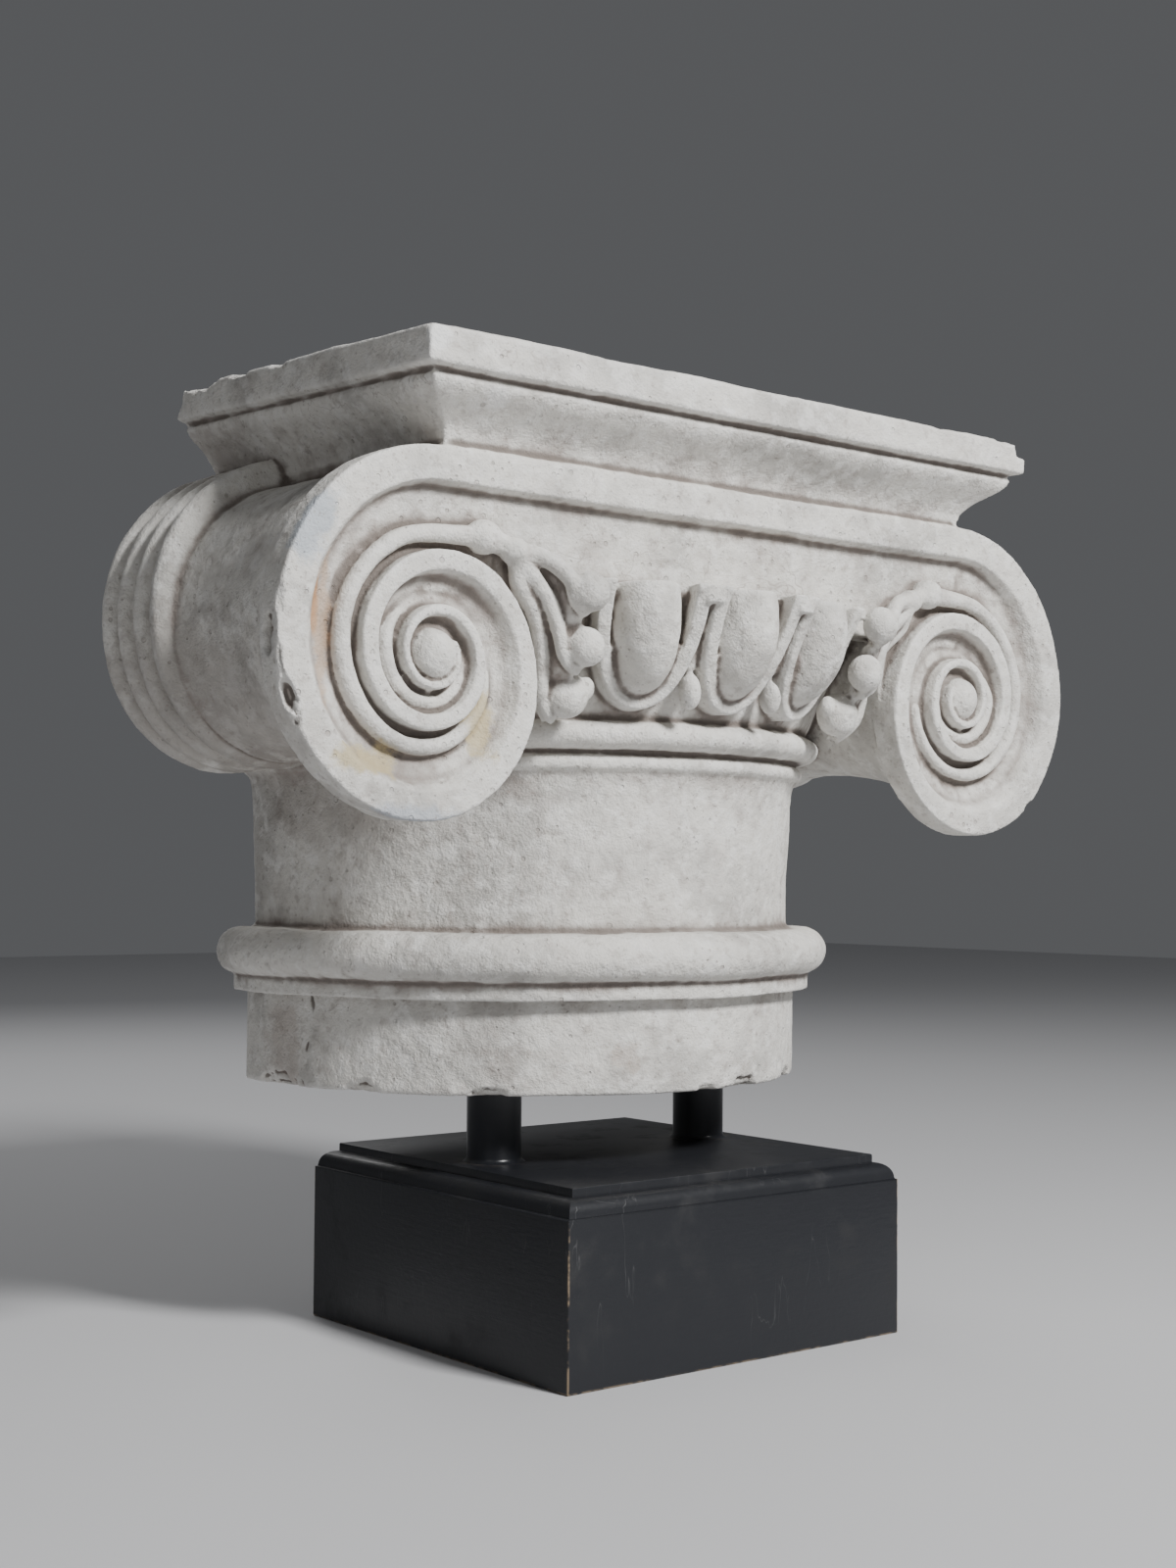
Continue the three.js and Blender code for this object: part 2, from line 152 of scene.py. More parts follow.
def extrude_scaled(move, ratio, centre):
    """Extrudes what is selected by a move, then scales its new edge about a centre."""
    bpy.ops.mesh.extrude_region_move(TRANSFORM_OT_translate={"value": move})
    bpy.ops.transform.resize(value=ratio, center_override=centre)


def ball(name, place, sizes, segments=24, rings=14):
    bpy.ops.mesh.primitive_uv_sphere_add(
        segments=segments, ring_count=rings, radius=1, location=place
    )
    piece = bpy.context.object
    piece.name = name
    piece.scale = sizes
    settle(piece)
    return piece


def box(name, place, sizes):
    bpy.ops.mesh.primitive_cube_add(size=1, location=place)
    piece = bpy.context.object
    piece.name = name
    piece.scale = sizes
    settle(piece)
    return piece


# %% [markdown]
# ## The drum, neck and astragal
# A plasterer runs such mouldings by turning a cut metal template about an axis. Spin does
# the same: the template is a chain of points drawn by extruding one vertex again and
# again, and it is spun once round the axis.

# %% Arc helper and drum profile
def arc(middle, radii, start, end, steps):
    """Points of an elliptic arc as (radius, height), angles in degrees."""
    points = []
    for i in range(steps + 1):
        angle = math.radians(start + (end - start) * i / steps)
        across = middle[0] + radii[0] * math.cos(angle)
        up = middle[1] + radii[1] * math.sin(angle)
        points.append((across, up))
    return points


def drum_profile():
    """The template, in millimetres from the axis and from the block's underside."""
    foot = FOOT_Z / MM
    torus_z = 268
    astragal_z = 418
    profile = [(0, foot), (210.5, foot)]
    profile += arc((210.5, foot + 2.5), (2.5, 2.5), -90, 0, 4)
    profile += [(213, foot + 46)]
    profile += arc((218, 236), (5, 13), 180, 95, 6)
    profile += arc((222, 241.5), (2, 2.5), -90, 0, 4)
    profile += [(224, 250.5), (221, 252)]
    profile += arc((221, torus_z), (17, 16.5), -84, 88, 22)
    profile += arc((213, 287), (5.5, 2.5), -90, -180, 4)
    profile += [(207.8, 320), (209.8, 350), (211, 379)]
    profile += arc((218.5, 380), (7, 15), 180, 100, 6)
    profile += arc((217.5, 399.3), (2.3, 4.4), -80, 90, 8)
    profile += [(214.5, 405), (215.5, 408)]
    profile += arc((220, astragal_z), (12, 9.6), -80, 78, 14)
    profile += [(222, 430), (225, BELL_FOOT_Z / MM + 2)]
    profile += [(229, 445), (241, 470), (256, 498), (264, 514), (200, 515), (200, 600), (0, 600)]
    return profile


# %% Draw the template and spin it
def turned(name, profile, steps):
    bpy.ops.mesh.primitive_plane_add(size=10 * MM)
    piece = bpy.context.object
    piece.name = name
    bpy.ops.object.mode_set(mode="EDIT")
    bpy.ops.mesh.select_all(action="SELECT")
    bpy.ops.mesh.merge(type="CENTER")
    here = Vector((profile[0][0] * MM, AXIS_Y, profile[0][1] * MM))
    bpy.ops.transform.translate(value=here)
    for across, up in profile[1:]:
        there = Vector((across * MM, AXIS_Y, up * MM))
        bpy.ops.mesh.extrude_region_move(TRANSFORM_OT_translate={"value": there - here})
        here = there
    bpy.ops.mesh.select_all(action="SELECT")
    bpy.ops.mesh.spin(steps=steps, angle=FULL, center=(0, AXIS_Y, 0), axis=(0, 0, 1))
    bpy.ops.object.mode_set(mode="OBJECT")
    close_up(piece)
    count(piece)
    return piece


drum = turned("drum", drum_profile(), 160)

# %% [markdown]
# ## The abacus
# The slab is a stack of rectangles. A plane is extruded upwards a little at a time, and
# each new edge is scaled from the flat back, so front and sides step out together. The
# S-shaped moulding, a cyma, is a smooth step function between its foot and its top.

# %% Abacus levels and extrusion
ABACUS_BACK = BACK_Y + 20 * MM      # runs past the back and is sawn off later


def abacus_levels():
    """Pairs of inset under the slab's edge and height, in millimetres."""
    levels = [(37.5, 586.5), (36.5, 587.5), (36.5, 591.5), (35.5, 592.5)]
    for i in range(25):
        share = i / 24
        curve = share * share * (3 - 2 * share)
        levels.append((8 + 27 * (1 - curve), 593 + 30 * share))
    levels += [(9.5, 624.2), (9.5, 626.2), (1.6, 627.4), (0, 629)]
    levels += [(0, 648.5), (0.8, 650.2), (2.6, 651)]
    return levels


def make_abacus():
    levels = abacus_levels()
    bpy.ops.mesh.primitive_plane_add(size=1)
    slab = bpy.context.object
    slab.name = "abacus"
    inset, height = levels[0]
    half = ABACUS_HALF - inset * MM
    depth = ABACUS_BACK - (ABACUS_FRONT + inset * MM)
    bpy.ops.object.mode_set(mode="EDIT")
    bpy.ops.mesh.select_all(action="SELECT")
    bpy.ops.transform.resize(value=(2 * half, depth, 1))
    bpy.ops.transform.translate(value=(0, ABACUS_BACK - depth / 2, height * MM))
    for next_inset, next_height in levels[1:]:
        rise = (next_height - height) * MM
        next_half = ABACUS_HALF - next_inset * MM
        next_depth = ABACUS_BACK - (ABACUS_FRONT + next_inset * MM)
        ratio = (next_half / half, next_depth / depth, 1)
        extrude_scaled((0, 0, rise), ratio, (0, ABACUS_BACK, next_height * MM))
        half, depth, height = next_half, next_depth, next_height
    bpy.ops.object.mode_set(mode="OBJECT")
    for vertex in slab.data.vertices:
        share = (vertex.co.y - ABACUS_FRONT) / (BACK_Y - ABACUS_FRONT)
        level = (vertex.co.z - ABACUS_FOOT_Z) / (ABACUS_TOP_Z - ABACUS_FOOT_Z)
        vertex.co.z += ABACUS_RISE * share * min(1, max(0, 3 * level))
    close_up(slab)
    count(slab)
    return slab


abacus = make_abacus()

# %% [markdown]
# ## The scroll
# A classical volute is drawn by quarter turns, and each quarter has a smaller radius than
# the last. The list gives these radii in units. A smooth curve through their logarithms
# gives the radius anywhere on the scroll.

# %% Scroll radius
QUARTER_RADII = [4.48, 3.9, 3.52, 2.62, 2.24, 1.88, 1.62, 1.24, 1.06, 0.88, 0.76, 0.62, 0.5]
LAST_QUARTER = len(QUARTER_RADII) - 1


def scroll_radius(quarters):
    at = min(int(quarters), LAST_QUARTER - 1)
    share = quarters - at
    logs = [
        math.log(QUARTER_RADII[min(max(i, 0), LAST_QUARTER)])
        for i in range(at - 1, at + 3)
    ]
    a, b, c, d = logs
    bend = 3 * (b - c) + d - a
    curve = b + 0.5 * share * (c - a + share * (2 * a - 5 * b + 4 * c - d + share * bend))
    return UNIT * math.exp(curve)


def on_scroll(quarters, radius, y):
    """A point of the right volute, turning clockwise from the top of its eye."""
    angle = math.pi / 2 * (1 - quarters)
    return (EYE_X + radius * math.cos(angle), y, EYE_Z + radius * math.sin(angle))


print("volute radii", [round(scroll_radius(q), 4) for q in range(0, 9)])

# %% [markdown]
# ## The bolsters
# Behind each volute a roll runs back, drawn in at the waist like a tied cushion, with a
# belt of four rings round its end. Its section is the volute's own outline made smaller,
# so a filled circle takes that outline and is then extruded backwards and scaled again and
# again about the corner where it meets the body. The rings of the belt stand out evenly
# all round, so they are scaled once more about the roll's own middle.

# %% Bolster sizes
TOP_Z = EYE_Z + scroll_radius(0)
BODY_HALF = 158 * MM
RIM_DEPTH = 20 * MM
ROLL_QUARTERS = 3.15                # how far round the scroll the bolster's section goes
BELT_REACH = 52 * MM                # the belt starts this far in front of the axis plane
WAIST = 0.79                        # scales of the section: waist, belt and behind the rim
GROOVE = 0.8
AT_RIM = 0.91
RINGS = (-40.5, -17, 6.5, 30)       # ring crests behind the axis plane, in millimetres
RING_HALF = 10.6
RING_RISE = 0.15
BOLSTER_MIDDLE = (EYE_X - 35 * MM, EYE_Z - 3 * MM)


def bolster_size(offset):
    """Scale of the bolster's section at a distance behind (+) the axis plane."""
    if offset > -BELT_REACH:
        return GROOVE
    run = AXIS_Y - FACE_Y - RIM_DEPTH - BELT_REACH
    share = min(1, (-offset - BELT_REACH) / run)
    flare = (GROOVE + 0.02 - WAIST) * (1 - share) ** 6
    return WAIST + flare + (AT_RIM - WAIST) * share ** 4


def ring_size(offset):
    """Scale of the rings of the belt over the bolster, about the bolster's middle."""
    size = 1
    for crest in RINGS:
        off = abs(offset / MM - crest) / RING_HALF
        if off < 1:
            size = max(size, 1 + RING_RISE * (1 - off ** 2.2) ** 0.55)
    return size


# %% Extrude the bolster
def make_bolster():
    corners = 112
    coarse_step = 6 * MM
    fine_step = 1.5 * MM            # fine enough for the rings
    bpy.ops.mesh.primitive_circle_add(vertices=corners, radius=0.1, fill_type="NGON")
    cushion = bpy.context.object
    cushion.name = "bolster"
    start_y = FACE_Y + RIM_DEPTH - 3 * MM
    size = bolster_size(start_y - AXIS_Y)
    ring = 1
    pivot = Vector((BODY_HALF, 0, TOP_Z))
    for i, vertex in enumerate(cushion.data.vertices):
        if i == 0:
            outline = pivot
        else:
            quarter = ROLL_QUARTERS * (i - 1) / (corners - 2)
            outline = Vector(on_scroll(quarter, scroll_radius(quarter), 0))
        vertex.co = pivot + (outline - pivot) * size
        vertex.co.y = start_y
    edit_all(cushion)
    here = start_y
    while here < BACK_Y + 12 * MM:
        step = coarse_step if here < AXIS_Y - BELT_REACH - 12 * MM else fine_step
        here += step
        next_size = bolster_size(here - AXIS_Y)
        ratio = next_size / size
        extrude_scaled((0, step, 0), (ratio, 1, ratio), (pivot.x, here, pivot.z))
        size = next_size
        next_ring = ring_size(here - AXIS_Y)
        ratio = next_ring / ring
        middle_x, middle_z = BOLSTER_MIDDLE
        bpy.ops.transform.resize(value=(ratio, 1, ratio), center_override=(middle_x, here, middle_z))
        ring = next_ring
    bpy.ops.object.mode_set(mode="OBJECT")
    close_up(cushion)
    count(cushion)
    return cushion


bolster = make_bolster()

# %% [markdown]
# ## Sweeping a moulding along the scroll
# The face of a volute is a flat band, a soft slope and a scooped channel, all following
# the scroll. A plasterer would run it free-hand with a gouge. Two hundred extrusions by
# hand would be slow and uneven, so rows of points are worked out along the scroll
# instead, and one skin is laid over them. Each row is one closed section.

# %% Skin over rows
def lofted(name, rows):
    across = len(rows[0])
    points = [point for row in rows for point in row]
    faces = []
    for i in range(len(rows) - 1):
        for j in range(across):
            a = i * across + j
            b = i * across + (j + 1) % across
            faces.append((a, b, b + across, a + across))
    faces.append(tuple(reversed(range(across))))
    faces.append(tuple(range(len(points) - across, len(points))))
    mesh = bpy.data.meshes.new(name)
    mesh.from_pydata(points, [], faces)
    piece = bpy.data.objects.new(name, mesh)
    bpy.context.collection.objects.link(piece)
    close_up(piece)
    return piece


def ease(value):
    value = min(1.0, max(0.0, value))
    return value * value * (3 - 2 * value)


# %% [markdown]
# ## The volute's face
# From the outer edge inwards the section is a flat band, a soft shoulder, a hollow
# channel, and the step up to the next whorl. The relief gets shallower towards the eye,
# where the last band runs into the domed eye.

# %% Section of the band and channel
CHANNEL = 13 * MM
PLATE = 23 * MM                     # thickness of the volute behind its face
EYE_R = 15.5 * MM
LAST_TURN = LAST_QUARTER - 0.6      # the band ends here, inside the eye
FLAT = 0.175                        # flat of the outer band, as a share of its radius
INNER_FLAT = 0.03                   # what the second whorl's flat has more
CANAL_FOOT_Z = 498 * MM


def band_section(outer, inner, depth, plate, shoulder, flat_share=FLAT):
    """(radius, depth) pairs across one band and its channel."""
    flat = flat_share * outer
    section = [(outer - 0.5 * MM, plate), (outer, plate - 1 * MM), (outer, 1.2 * MM)]
    section += [(outer - 0.4 * MM, 0.3 * MM), (outer - 1.3 * MM, 0)]
    section += [(outer - flat * 0.5, -0.1 * MM), (outer - flat, 0.2 * MM)]
    for share in (0.15, 0.35, 0.6, 0.8, 1):
        section.append((outer - flat - shoulder * share, 0.2 * MM + depth * 0.8 * ease(share) ** 0.8))
    edge = outer - flat - shoulder
    middle = (edge + inner) / 2
    section += [(middle + (edge - middle) * 0.4, depth), (middle, depth * 1.05)]
    section += [(inner + 4 * MM, depth * 0.95), (inner - 2 * MM, depth * 0.9), (inner - 3 * MM, plate)]
    return section


def scroll_rows(start, end, steps):
    rows = []
    for i in range(steps + 1):
        quarter = start + (end - start) * i / steps
        outer = scroll_radius(quarter)
        if quarter + 4 <= LAST_TURN:
            inner = scroll_radius(quarter + 4)
        else:
            inner = min(scroll_radius(LAST_TURN), outer * 0.55)
        depth = CHANNEL * (1 - 0.4 * ease((quarter - 4) / 7))
        shoulder = (0.025 + 0.065 * ease(quarter / 0.8) - 0.045 * ease(quarter - 3.3)) * outer
        flat_share = FLAT + INNER_FLAT * ease(quarter - 3.3)
        section = band_section(outer, min(inner, outer * 0.7), depth, PLATE, shoulder, flat_share)
        rows.append([on_scroll(quarter, radius, FACE_Y + deep) for radius, deep in section])
    return rows


def canal_rows():
    """The straight channel over the eggs, from the middle to the top of the scroll."""
    rows = []
    outer = scroll_radius(0)
    inner = CANAL_FOOT_Z - EYE_Z
    for x in (-2 * MM, EYE_X / 2, EYE_X + 1 * MM):
        section = band_section(outer, inner + 3 * MM, CHANNEL, PLATE + 10 * MM, 0.025 * outer)
        rows.append([(x, FACE_Y + deep, EYE_Z + radius) for radius, deep in section])
    return rows


# %% Make the right half of the face
face = lofted("volute", scroll_rows(0, LAST_TURN, 240))
canal = lofted("canal", canal_rows())
eye_place = (EYE_X, FACE_Y + 7.5 * MM, EYE_Z)
eye = ball("eye", eye_place, (EYE_R, 13 * MM, EYE_R * 1.03), 32, 20)
count(face)

# %% [markdown]
# ## Round rolls
# A thin round roll lies in each channel, close against the inner band, with a dark groove
# between the two. A roll is a ring of points carried along a path and made thicker or
# thinner as it goes. The same helper makes the strands of the husks.

# %% Rolls along a path
def smooth_path(points, steps):
    """A Catmull-Rom curve through points of any number of values."""
    ends = [2 * points[0] - points[1]] + points + [2 * points[-1] - points[-2]]
    path = []
    for i in range(steps + 1):
        at = i * (len(points) - 1) / steps
        k = min(int(at), len(points) - 2)
        t = at - k
        a, b, c, d = ends[k:k + 4]
        bend = 3 * (b - c) + d - a
        path.append(b + 0.5 * t * (c - a + t * (2 * a - 5 * b + 4 * c - d + t * bend)))
    return path


def roll(name, points, sizes, steps=40, sides=12):
    """points are places, sizes the half thickness at each of them."""
    stacked = [np.array([*place, size]) for place, size in zip(points, sizes)]
    path = smooth_path(stacked, steps)
    rows = []
    for i, here in enumerate(path):
        ahead = path[min(i + 1, len(path) - 1)]
        behind = path[max(i - 1, 0)]
        forward = Vector(ahead[:3] - behind[:3]).normalized()
        side = forward.cross(Vector((0, 1, 0))).normalized()
        up = side.cross(forward)
        size = max(here[3], 0.4 * MM)
        if i in (0, len(path) - 1):
            size *= 0.3
        row = []
        for j in range(sides):
            angle = FULL * j / sides
            row.append(Vector(here[:3]) + (side * math.cos(angle) + up * math.sin(angle)) * size)
        rows.append(row)
    return lofted(name, rows)


# %% Stem roll and inner roll
HUSK_KNOT = Vector((205, -128, 534)) * MM


def channel_roll(name, start, end, gap, thick, depth, fade, lead=()):
    """A roll from one quarter turn to another, at a small gap outside the next whorl."""
    points = [place for place, size in lead]
    sizes = [size for place, size in lead]
    steps = int((end - start) * 4)
    for i in range(steps + 1):
        quarter = start + (end - start) * i / steps
        swell = thick * (1 - fade * (i / steps) ** 3)
        if not lead:
            swell *= ease(0.15 + i / 4)
        radius = scroll_radius(quarter + 4) + gap + swell
        points.append(on_scroll(quarter, radius, FACE_Y + depth + (thick - swell)))
        sizes.append(swell)
    return roll(name, points, sizes, len(points) * 8)


stem_lead = [(HUSK_KNOT, 7 * MM)]
stem = channel_roll(
    "stem", 0.1, 2.9, gap=4.6 * MM, thick=6.2 * MM, depth=8.5 * MM, fade=0.6, lead=stem_lead
)
inner_roll = channel_roll(
    "inner_roll", 4.2, 7.2, gap=3 * MM, thick=5.4 * MM, depth=9 * MM, fade=0.7
)

# %% [markdown]
# ## The corner husks
# In each corner a folded leaf springs from a knot on the stem. Three strands run down from
# it, and each hooks under a ball. The leaf between two strands is a thin curved web.

# %% Strands, webs and balls
HUSK_SPRING = Vector((183, -131, 527)) * MM
HUSK_BALLS = [
    (Vector((134, -147, 504)) * MM, 13.5 * MM),
    (Vector((129, -137, 470)) * MM, 13.5 * MM),
    (Vector((126, -112, 441)) * MM, 16 * MM),
]
# Places along each strand between the spring and its hook under the ball.
HUSK_STRANDS = [
    [(168, -136, 525), (156, -141, 519), (148, -145, 510), (143, -145, 498), (133, -142, 489)],
    [(172, -132, 515), (156, -131, 499), (147, -131, 480), (141, -131, 462), (129, -130, 453)],
    [(176, -127, 507), (159, -122, 489), (149, -117, 466), (145, -111, 439), (131, -105, 422)],
]
STRAND_THICK = [6 * MM, 6.4 * MM, 5.9 * MM, 5.6 * MM, 5.4 * MM, 4.9 * MM, 3.4 * MM]

husk_pieces = [ball("knot", HUSK_KNOT, (13 * MM, 10.5 * MM, 11 * MM))]
husk_pieces.append(ball("bulge", HUSK_SPRING, (10 * MM, 9 * MM, 8.5 * MM)))
strand_paths = []
for i, (place, size) in enumerate(HUSK_BALLS):
    husk_pieces.append(ball(f"ball_{i}", place, (size, size * 0.9, size)))
    points = [HUSK_KNOT, HUSK_SPRING] + [Vector(spot) * MM for spot in HUSK_STRANDS[i]]
    strand_paths.append(points)
    husk_pieces.append(roll(f"strand_{i}", points, STRAND_THICK, 48))
for i in range(2):
    left = smooth_path([np.array(p) for p in strand_paths[i]], 20)
    right = smooth_path([np.array(p) for p in strand_paths[i + 1]], 20)
    rows = []
    back = np.array((0, 12 * MM, 0))
    sag = np.array((0, 4 * MM, 0))
    for a, b in zip(left, right):
        middle = (a + b) / 2 + sag
        rows.append([a + sag / 2, middle, b + sag / 2, b + back, middle + back, a + back])
    husk_pieces.append(lofted(f"web_{i}", rows[3:]))
husk_pieces.append(ball("low_ball", Vector((112, -116, 446)) * MM, (6 * MM, 6 * MM, 8 * MM)))
print(len(husk_pieces), "husk forms")

# %% [markdown]
# ## Eggs, shells and darts
# Eggs and darts are cut into the quarter-round over the neck. Each egg is a sphere made
# longer, narrower at its foot, and sliced off flat at the top. A U-shaped rim with a flat
# face wraps it. Between two rims a flat bridge joins their tops, and a thin tongue below
# it ends in a bud.

# %% Placing things round the bell
EGG_TURN = math.radians(17.5)
EGG_HALF = 24                       # half width, half depth and half height, in millimetres
EGG_OUT = 30
EGG_TALL = 53
EGG_RADIUS = 252                    # distance of its middle from the axis
EGG_Z = 495
EGG_LEAN = 18                       # how far its foot leans in


def on_bell(piece, turn):
    """Carries a form made facing the front at the axis out to its place on the bell."""
    piece.rotation_euler = (0, 0, turn)
    piece.location = (0, AXIS_Y, 0)
    settle(piece)
    return piece


def make_egg(turn):
    bpy.ops.mesh.primitive_uv_sphere_add(segments=40, ring_count=36, radius=1)
    egg = bpy.context.object
    egg.name = "egg"
    for vertex in egg.data.vertices:
        x, y, z = vertex.co
        drop = min(0.999, max(0.0, -z))
        blunt = (1 - drop ** 2.7) ** (1 / 2.3) / math.sqrt(1 - drop * drop)
        vertex.co.x = x * EGG_HALF * MM * min(blunt, 1.9)
        vertex.co.y = (y * EGG_OUT * min(blunt, 1.25) - EGG_RADIUS + EGG_LEAN * drop * drop) * MM
        vertex.co.z = (EGG_Z + EGG_TALL * z) * MM
    edit_all(egg)
    bpy.ops.mesh.bisect(
        plane_co=(0, 0, BELL_TOP_Z + 0.5 * MM), plane_no=(0, 0, 1), clear_outer=True, use_fill=True
    )
    bpy.ops.object.mode_set(mode="OBJECT")
    return on_bell(egg, turn)


SHELL_SIDES = 26
SHELL_FOOT_Z = 437.5                # in millimetres, as the next two
SHELL_HALF = 34.5
SHELL_OUT = 241


def make_shell(turn):
    """The U-shaped rim: a flat-faced bar carried down one side and up the other."""
    rows = []
    for i in range(-SHELL_SIDES, SHELL_SIDES + 1):
        share = abs(i) / SHELL_SIDES
        rise = share ** 1.8
        side = math.copysign(1, i) if i else 0
        width = (SHELL_HALF * math.sqrt(max(0, 1 - (1 - rise) ** 2.6)) - 0.6 * rise) * MM
        out = (SHELL_OUT + 38 * rise) * MM
        height = (SHELL_FOOT_Z + (BELL_TOP_Z / MM + 0.5 - SHELL_FOOT_Z) * rise) * MM
        across = (3.8 + 1.7 * ease(share * 1.2)) * MM
        flat = 1 - ease(share * 1.7)
        inward = Vector((-side * math.sqrt(max(0, 1 - flat * flat)), 0, flat)).normalized()
        place = Vector((side * width, -out, height))
        face_out = Vector((0, -1, 0))
        row = []
        for a, b in ((-1, -18), (-1, -0.6), (-0.8, 0.4), (0.8, 0.4), (1, -0.6), (1, -18)):
            row.append(place + inward * across * a + face_out * b * MM)
        rows.append(row)
    return on_bell(lofted("shell", rows), turn)


def make_dart(turn):
    tongue = roll(
        "tongue",
        [Vector((0, -262, 500)) * MM, Vector((0, -254, 480)) * MM, Vector((0, -244, 460)) * MM],
        [1.4 * MM, 2.2 * MM, 3.6 * MM], 14,
    )
    on_bell(tongue, turn)
    bud = ball("bud", Vector((0, -246, 447)) * MM, (6.5 * MM, 9 * MM, 12 * MM))
    bridge = box("bridge", (0, -265 * MM, 509 * MM), (14 * MM, 29 * MM, 12 * MM))
    return [tongue, on_bell(bud, turn), on_bell(bridge, turn)]


echinus = []
for i in (-1, 0, 1):
    echinus.append(make_egg(i * EGG_TURN))
    echinus.append(make_shell(i * EGG_TURN))
for i in (-0.5, 0.5):
    echinus += make_dart(i * EGG_TURN)
print(len(echinus), "echinus forms")

# %% [markdown]
# ## The block between the bolsters
# Behind the channel and under the abacus the cast is a plain block.

# %% Body block
BODY_FOOT_Z = 500 * MM
body_front = FACE_Y + PLATE + 4 * MM
body_top = ABACUS_FOOT_Z + 2 * MM
body = box(
    "body",
    (0, (ABACUS_BACK + body_front) / 2, (body_top + BODY_FOOT_Z) / 2),
    (2 * (BODY_HALF + 4 * MM), ABACUS_BACK - body_front, body_top - BODY_FOOT_Z),
)

# %% [markdown]
# ## Mirroring and joining
# Both halves of the front come from one mould. The right half is copied, mirrored and has
# its faces turned outwards again. Then all the forms are joined and remeshed, which melts
# them into one skin, as plaster is one body. A light smoothing rounds the arrises the way
# a cast and its paint do.

# %% Mirror the right half
def twin(piece):
    only(piece)
    bpy.ops.object.duplicate()
    other = bpy.context.object
    bpy.ops.transform.mirror(constraint_axis=(True, False, False), orient_type="GLOBAL")
    settle(other)
    edit_all(other)
    bpy.ops.mesh.normals_make_consistent(inside=False)
    bpy.ops.object.mode_set(mode="OBJECT")
    return other


right_side = [face, canal, eye, stem, inner_roll, bolster] + husk_pieces
left_side = [twin(piece) for piece in right_side]
print(len(left_side), "forms mirrored")

# %% Saw the back flat, join and remesh
VOXEL = 1.5 * MM
SAWN_Y = BACK_Y - 0.2 * MM
everything = [drum, abacus, body] + echinus + right_side + left_side
for piece in everything:
    if max(vertex.co.y for vertex in piece.data.vertices) > SAWN_Y:
        edit_all(piece)
        bpy.ops.mesh.bisect(
            plane_co=(0, SAWN_Y, 0), plane_no=(0, 1, 0), clear_outer=True, use_fill=True
        )
        bpy.ops.object.mode_set(mode="OBJECT")
bpy.ops.object.select_all(action="DESELECT")
for piece in everything:
    piece.select_set(True)
bpy.context.view_layer.objects.active = drum
bpy.ops.object.join()
cast = bpy.context.object
cast.name = "capital_cast"
apply_modifier(cast, "REMESH", mode="VOXEL", voxel_size=VOXEL, adaptivity=0)
count(cast)

# %% [markdown]
# ## Age and hand work
# No plaster cast has a straight line in it. The whole skin is moved by slow waves of half
# a millimetre and by quick ones of a tenth. Broken places are pushed in: each has a middle,
# a reach in three directions and a depth, and noise gives it a torn floor.

# %% Read and write the skin as numbers
WAVE_SEED = 7
dice = np.random.default_rng(WAVE_SEED)


def places_of(piece):
    flat_list = np.empty(len(piece.data.vertices) * 3)
    piece.data.vertices.foreach_get("co", flat_list)
    return flat_list.reshape(-1, 3)


def normals_of(piece):
    flat_list = np.empty(len(piece.data.vertices) * 3, np.float32)
    piece.data.vertex_normals.foreach_get("vector", flat_list)
    return flat_list.reshape(-1, 3).astype(float)


def set_places(piece, places):
    piece.data.vertices.foreach_set("co", places.ravel())
    piece.data.update()


def waves(places, length, number):
    """A smooth random field from crossing sine waves of about one length."""
    total = np.zeros(len(places))
    for _ in range(number):
        direction = dice.normal(size=3)
        direction *= FULL / (length * dice.uniform(0.7, 1.4)) / np.linalg.norm(direction)
        total += np.sin(places @ direction + dice.uniform(0, FULL))
    return total / math.sqrt(number)


# %% Smooth, then roughen
def smooth_skin(places, edges, rounds, strength=0.5):
    total = len(places)
    ends = np.concatenate([edges[:, 0], edges[:, 1]])
    others = np.concatenate([edges[:, 1], edges[:, 0]])
    degree = np.maximum(np.bincount(ends, minlength=total), 1)
    for _ in range(rounds):
        mean = np.empty_like(places)
        for axis in range(3):
            pull = np.bincount(ends, weights=places[others, axis], minlength=total)
            mean[:, axis] = pull / degree
        places = places + (mean - places) * strength
    return places


edges = np.empty(len(cast.data.edges) * 2, np.int32)
cast.data.edges.foreach_get("vertices", edges)
edges = edges.reshape(-1, 2)
skin = smooth_skin(places_of(cast), edges, 2)
set_places(cast, skin)
normals = normals_of(cast)
lift = 0.45 * waves(skin, 110 * MM, 14) + 0.16 * waves(skin, 32 * MM, 18)
lift += 0.1 * waves(skin, 12 * MM, 24)
inside = skin[:, 1] < SAWN_Y - 2 * MM
skin += normals * (lift * MM * inside)[:, None]
print("waviness from", round(lift.min(), 2), "to", round(lift.max(), 2), "mm")

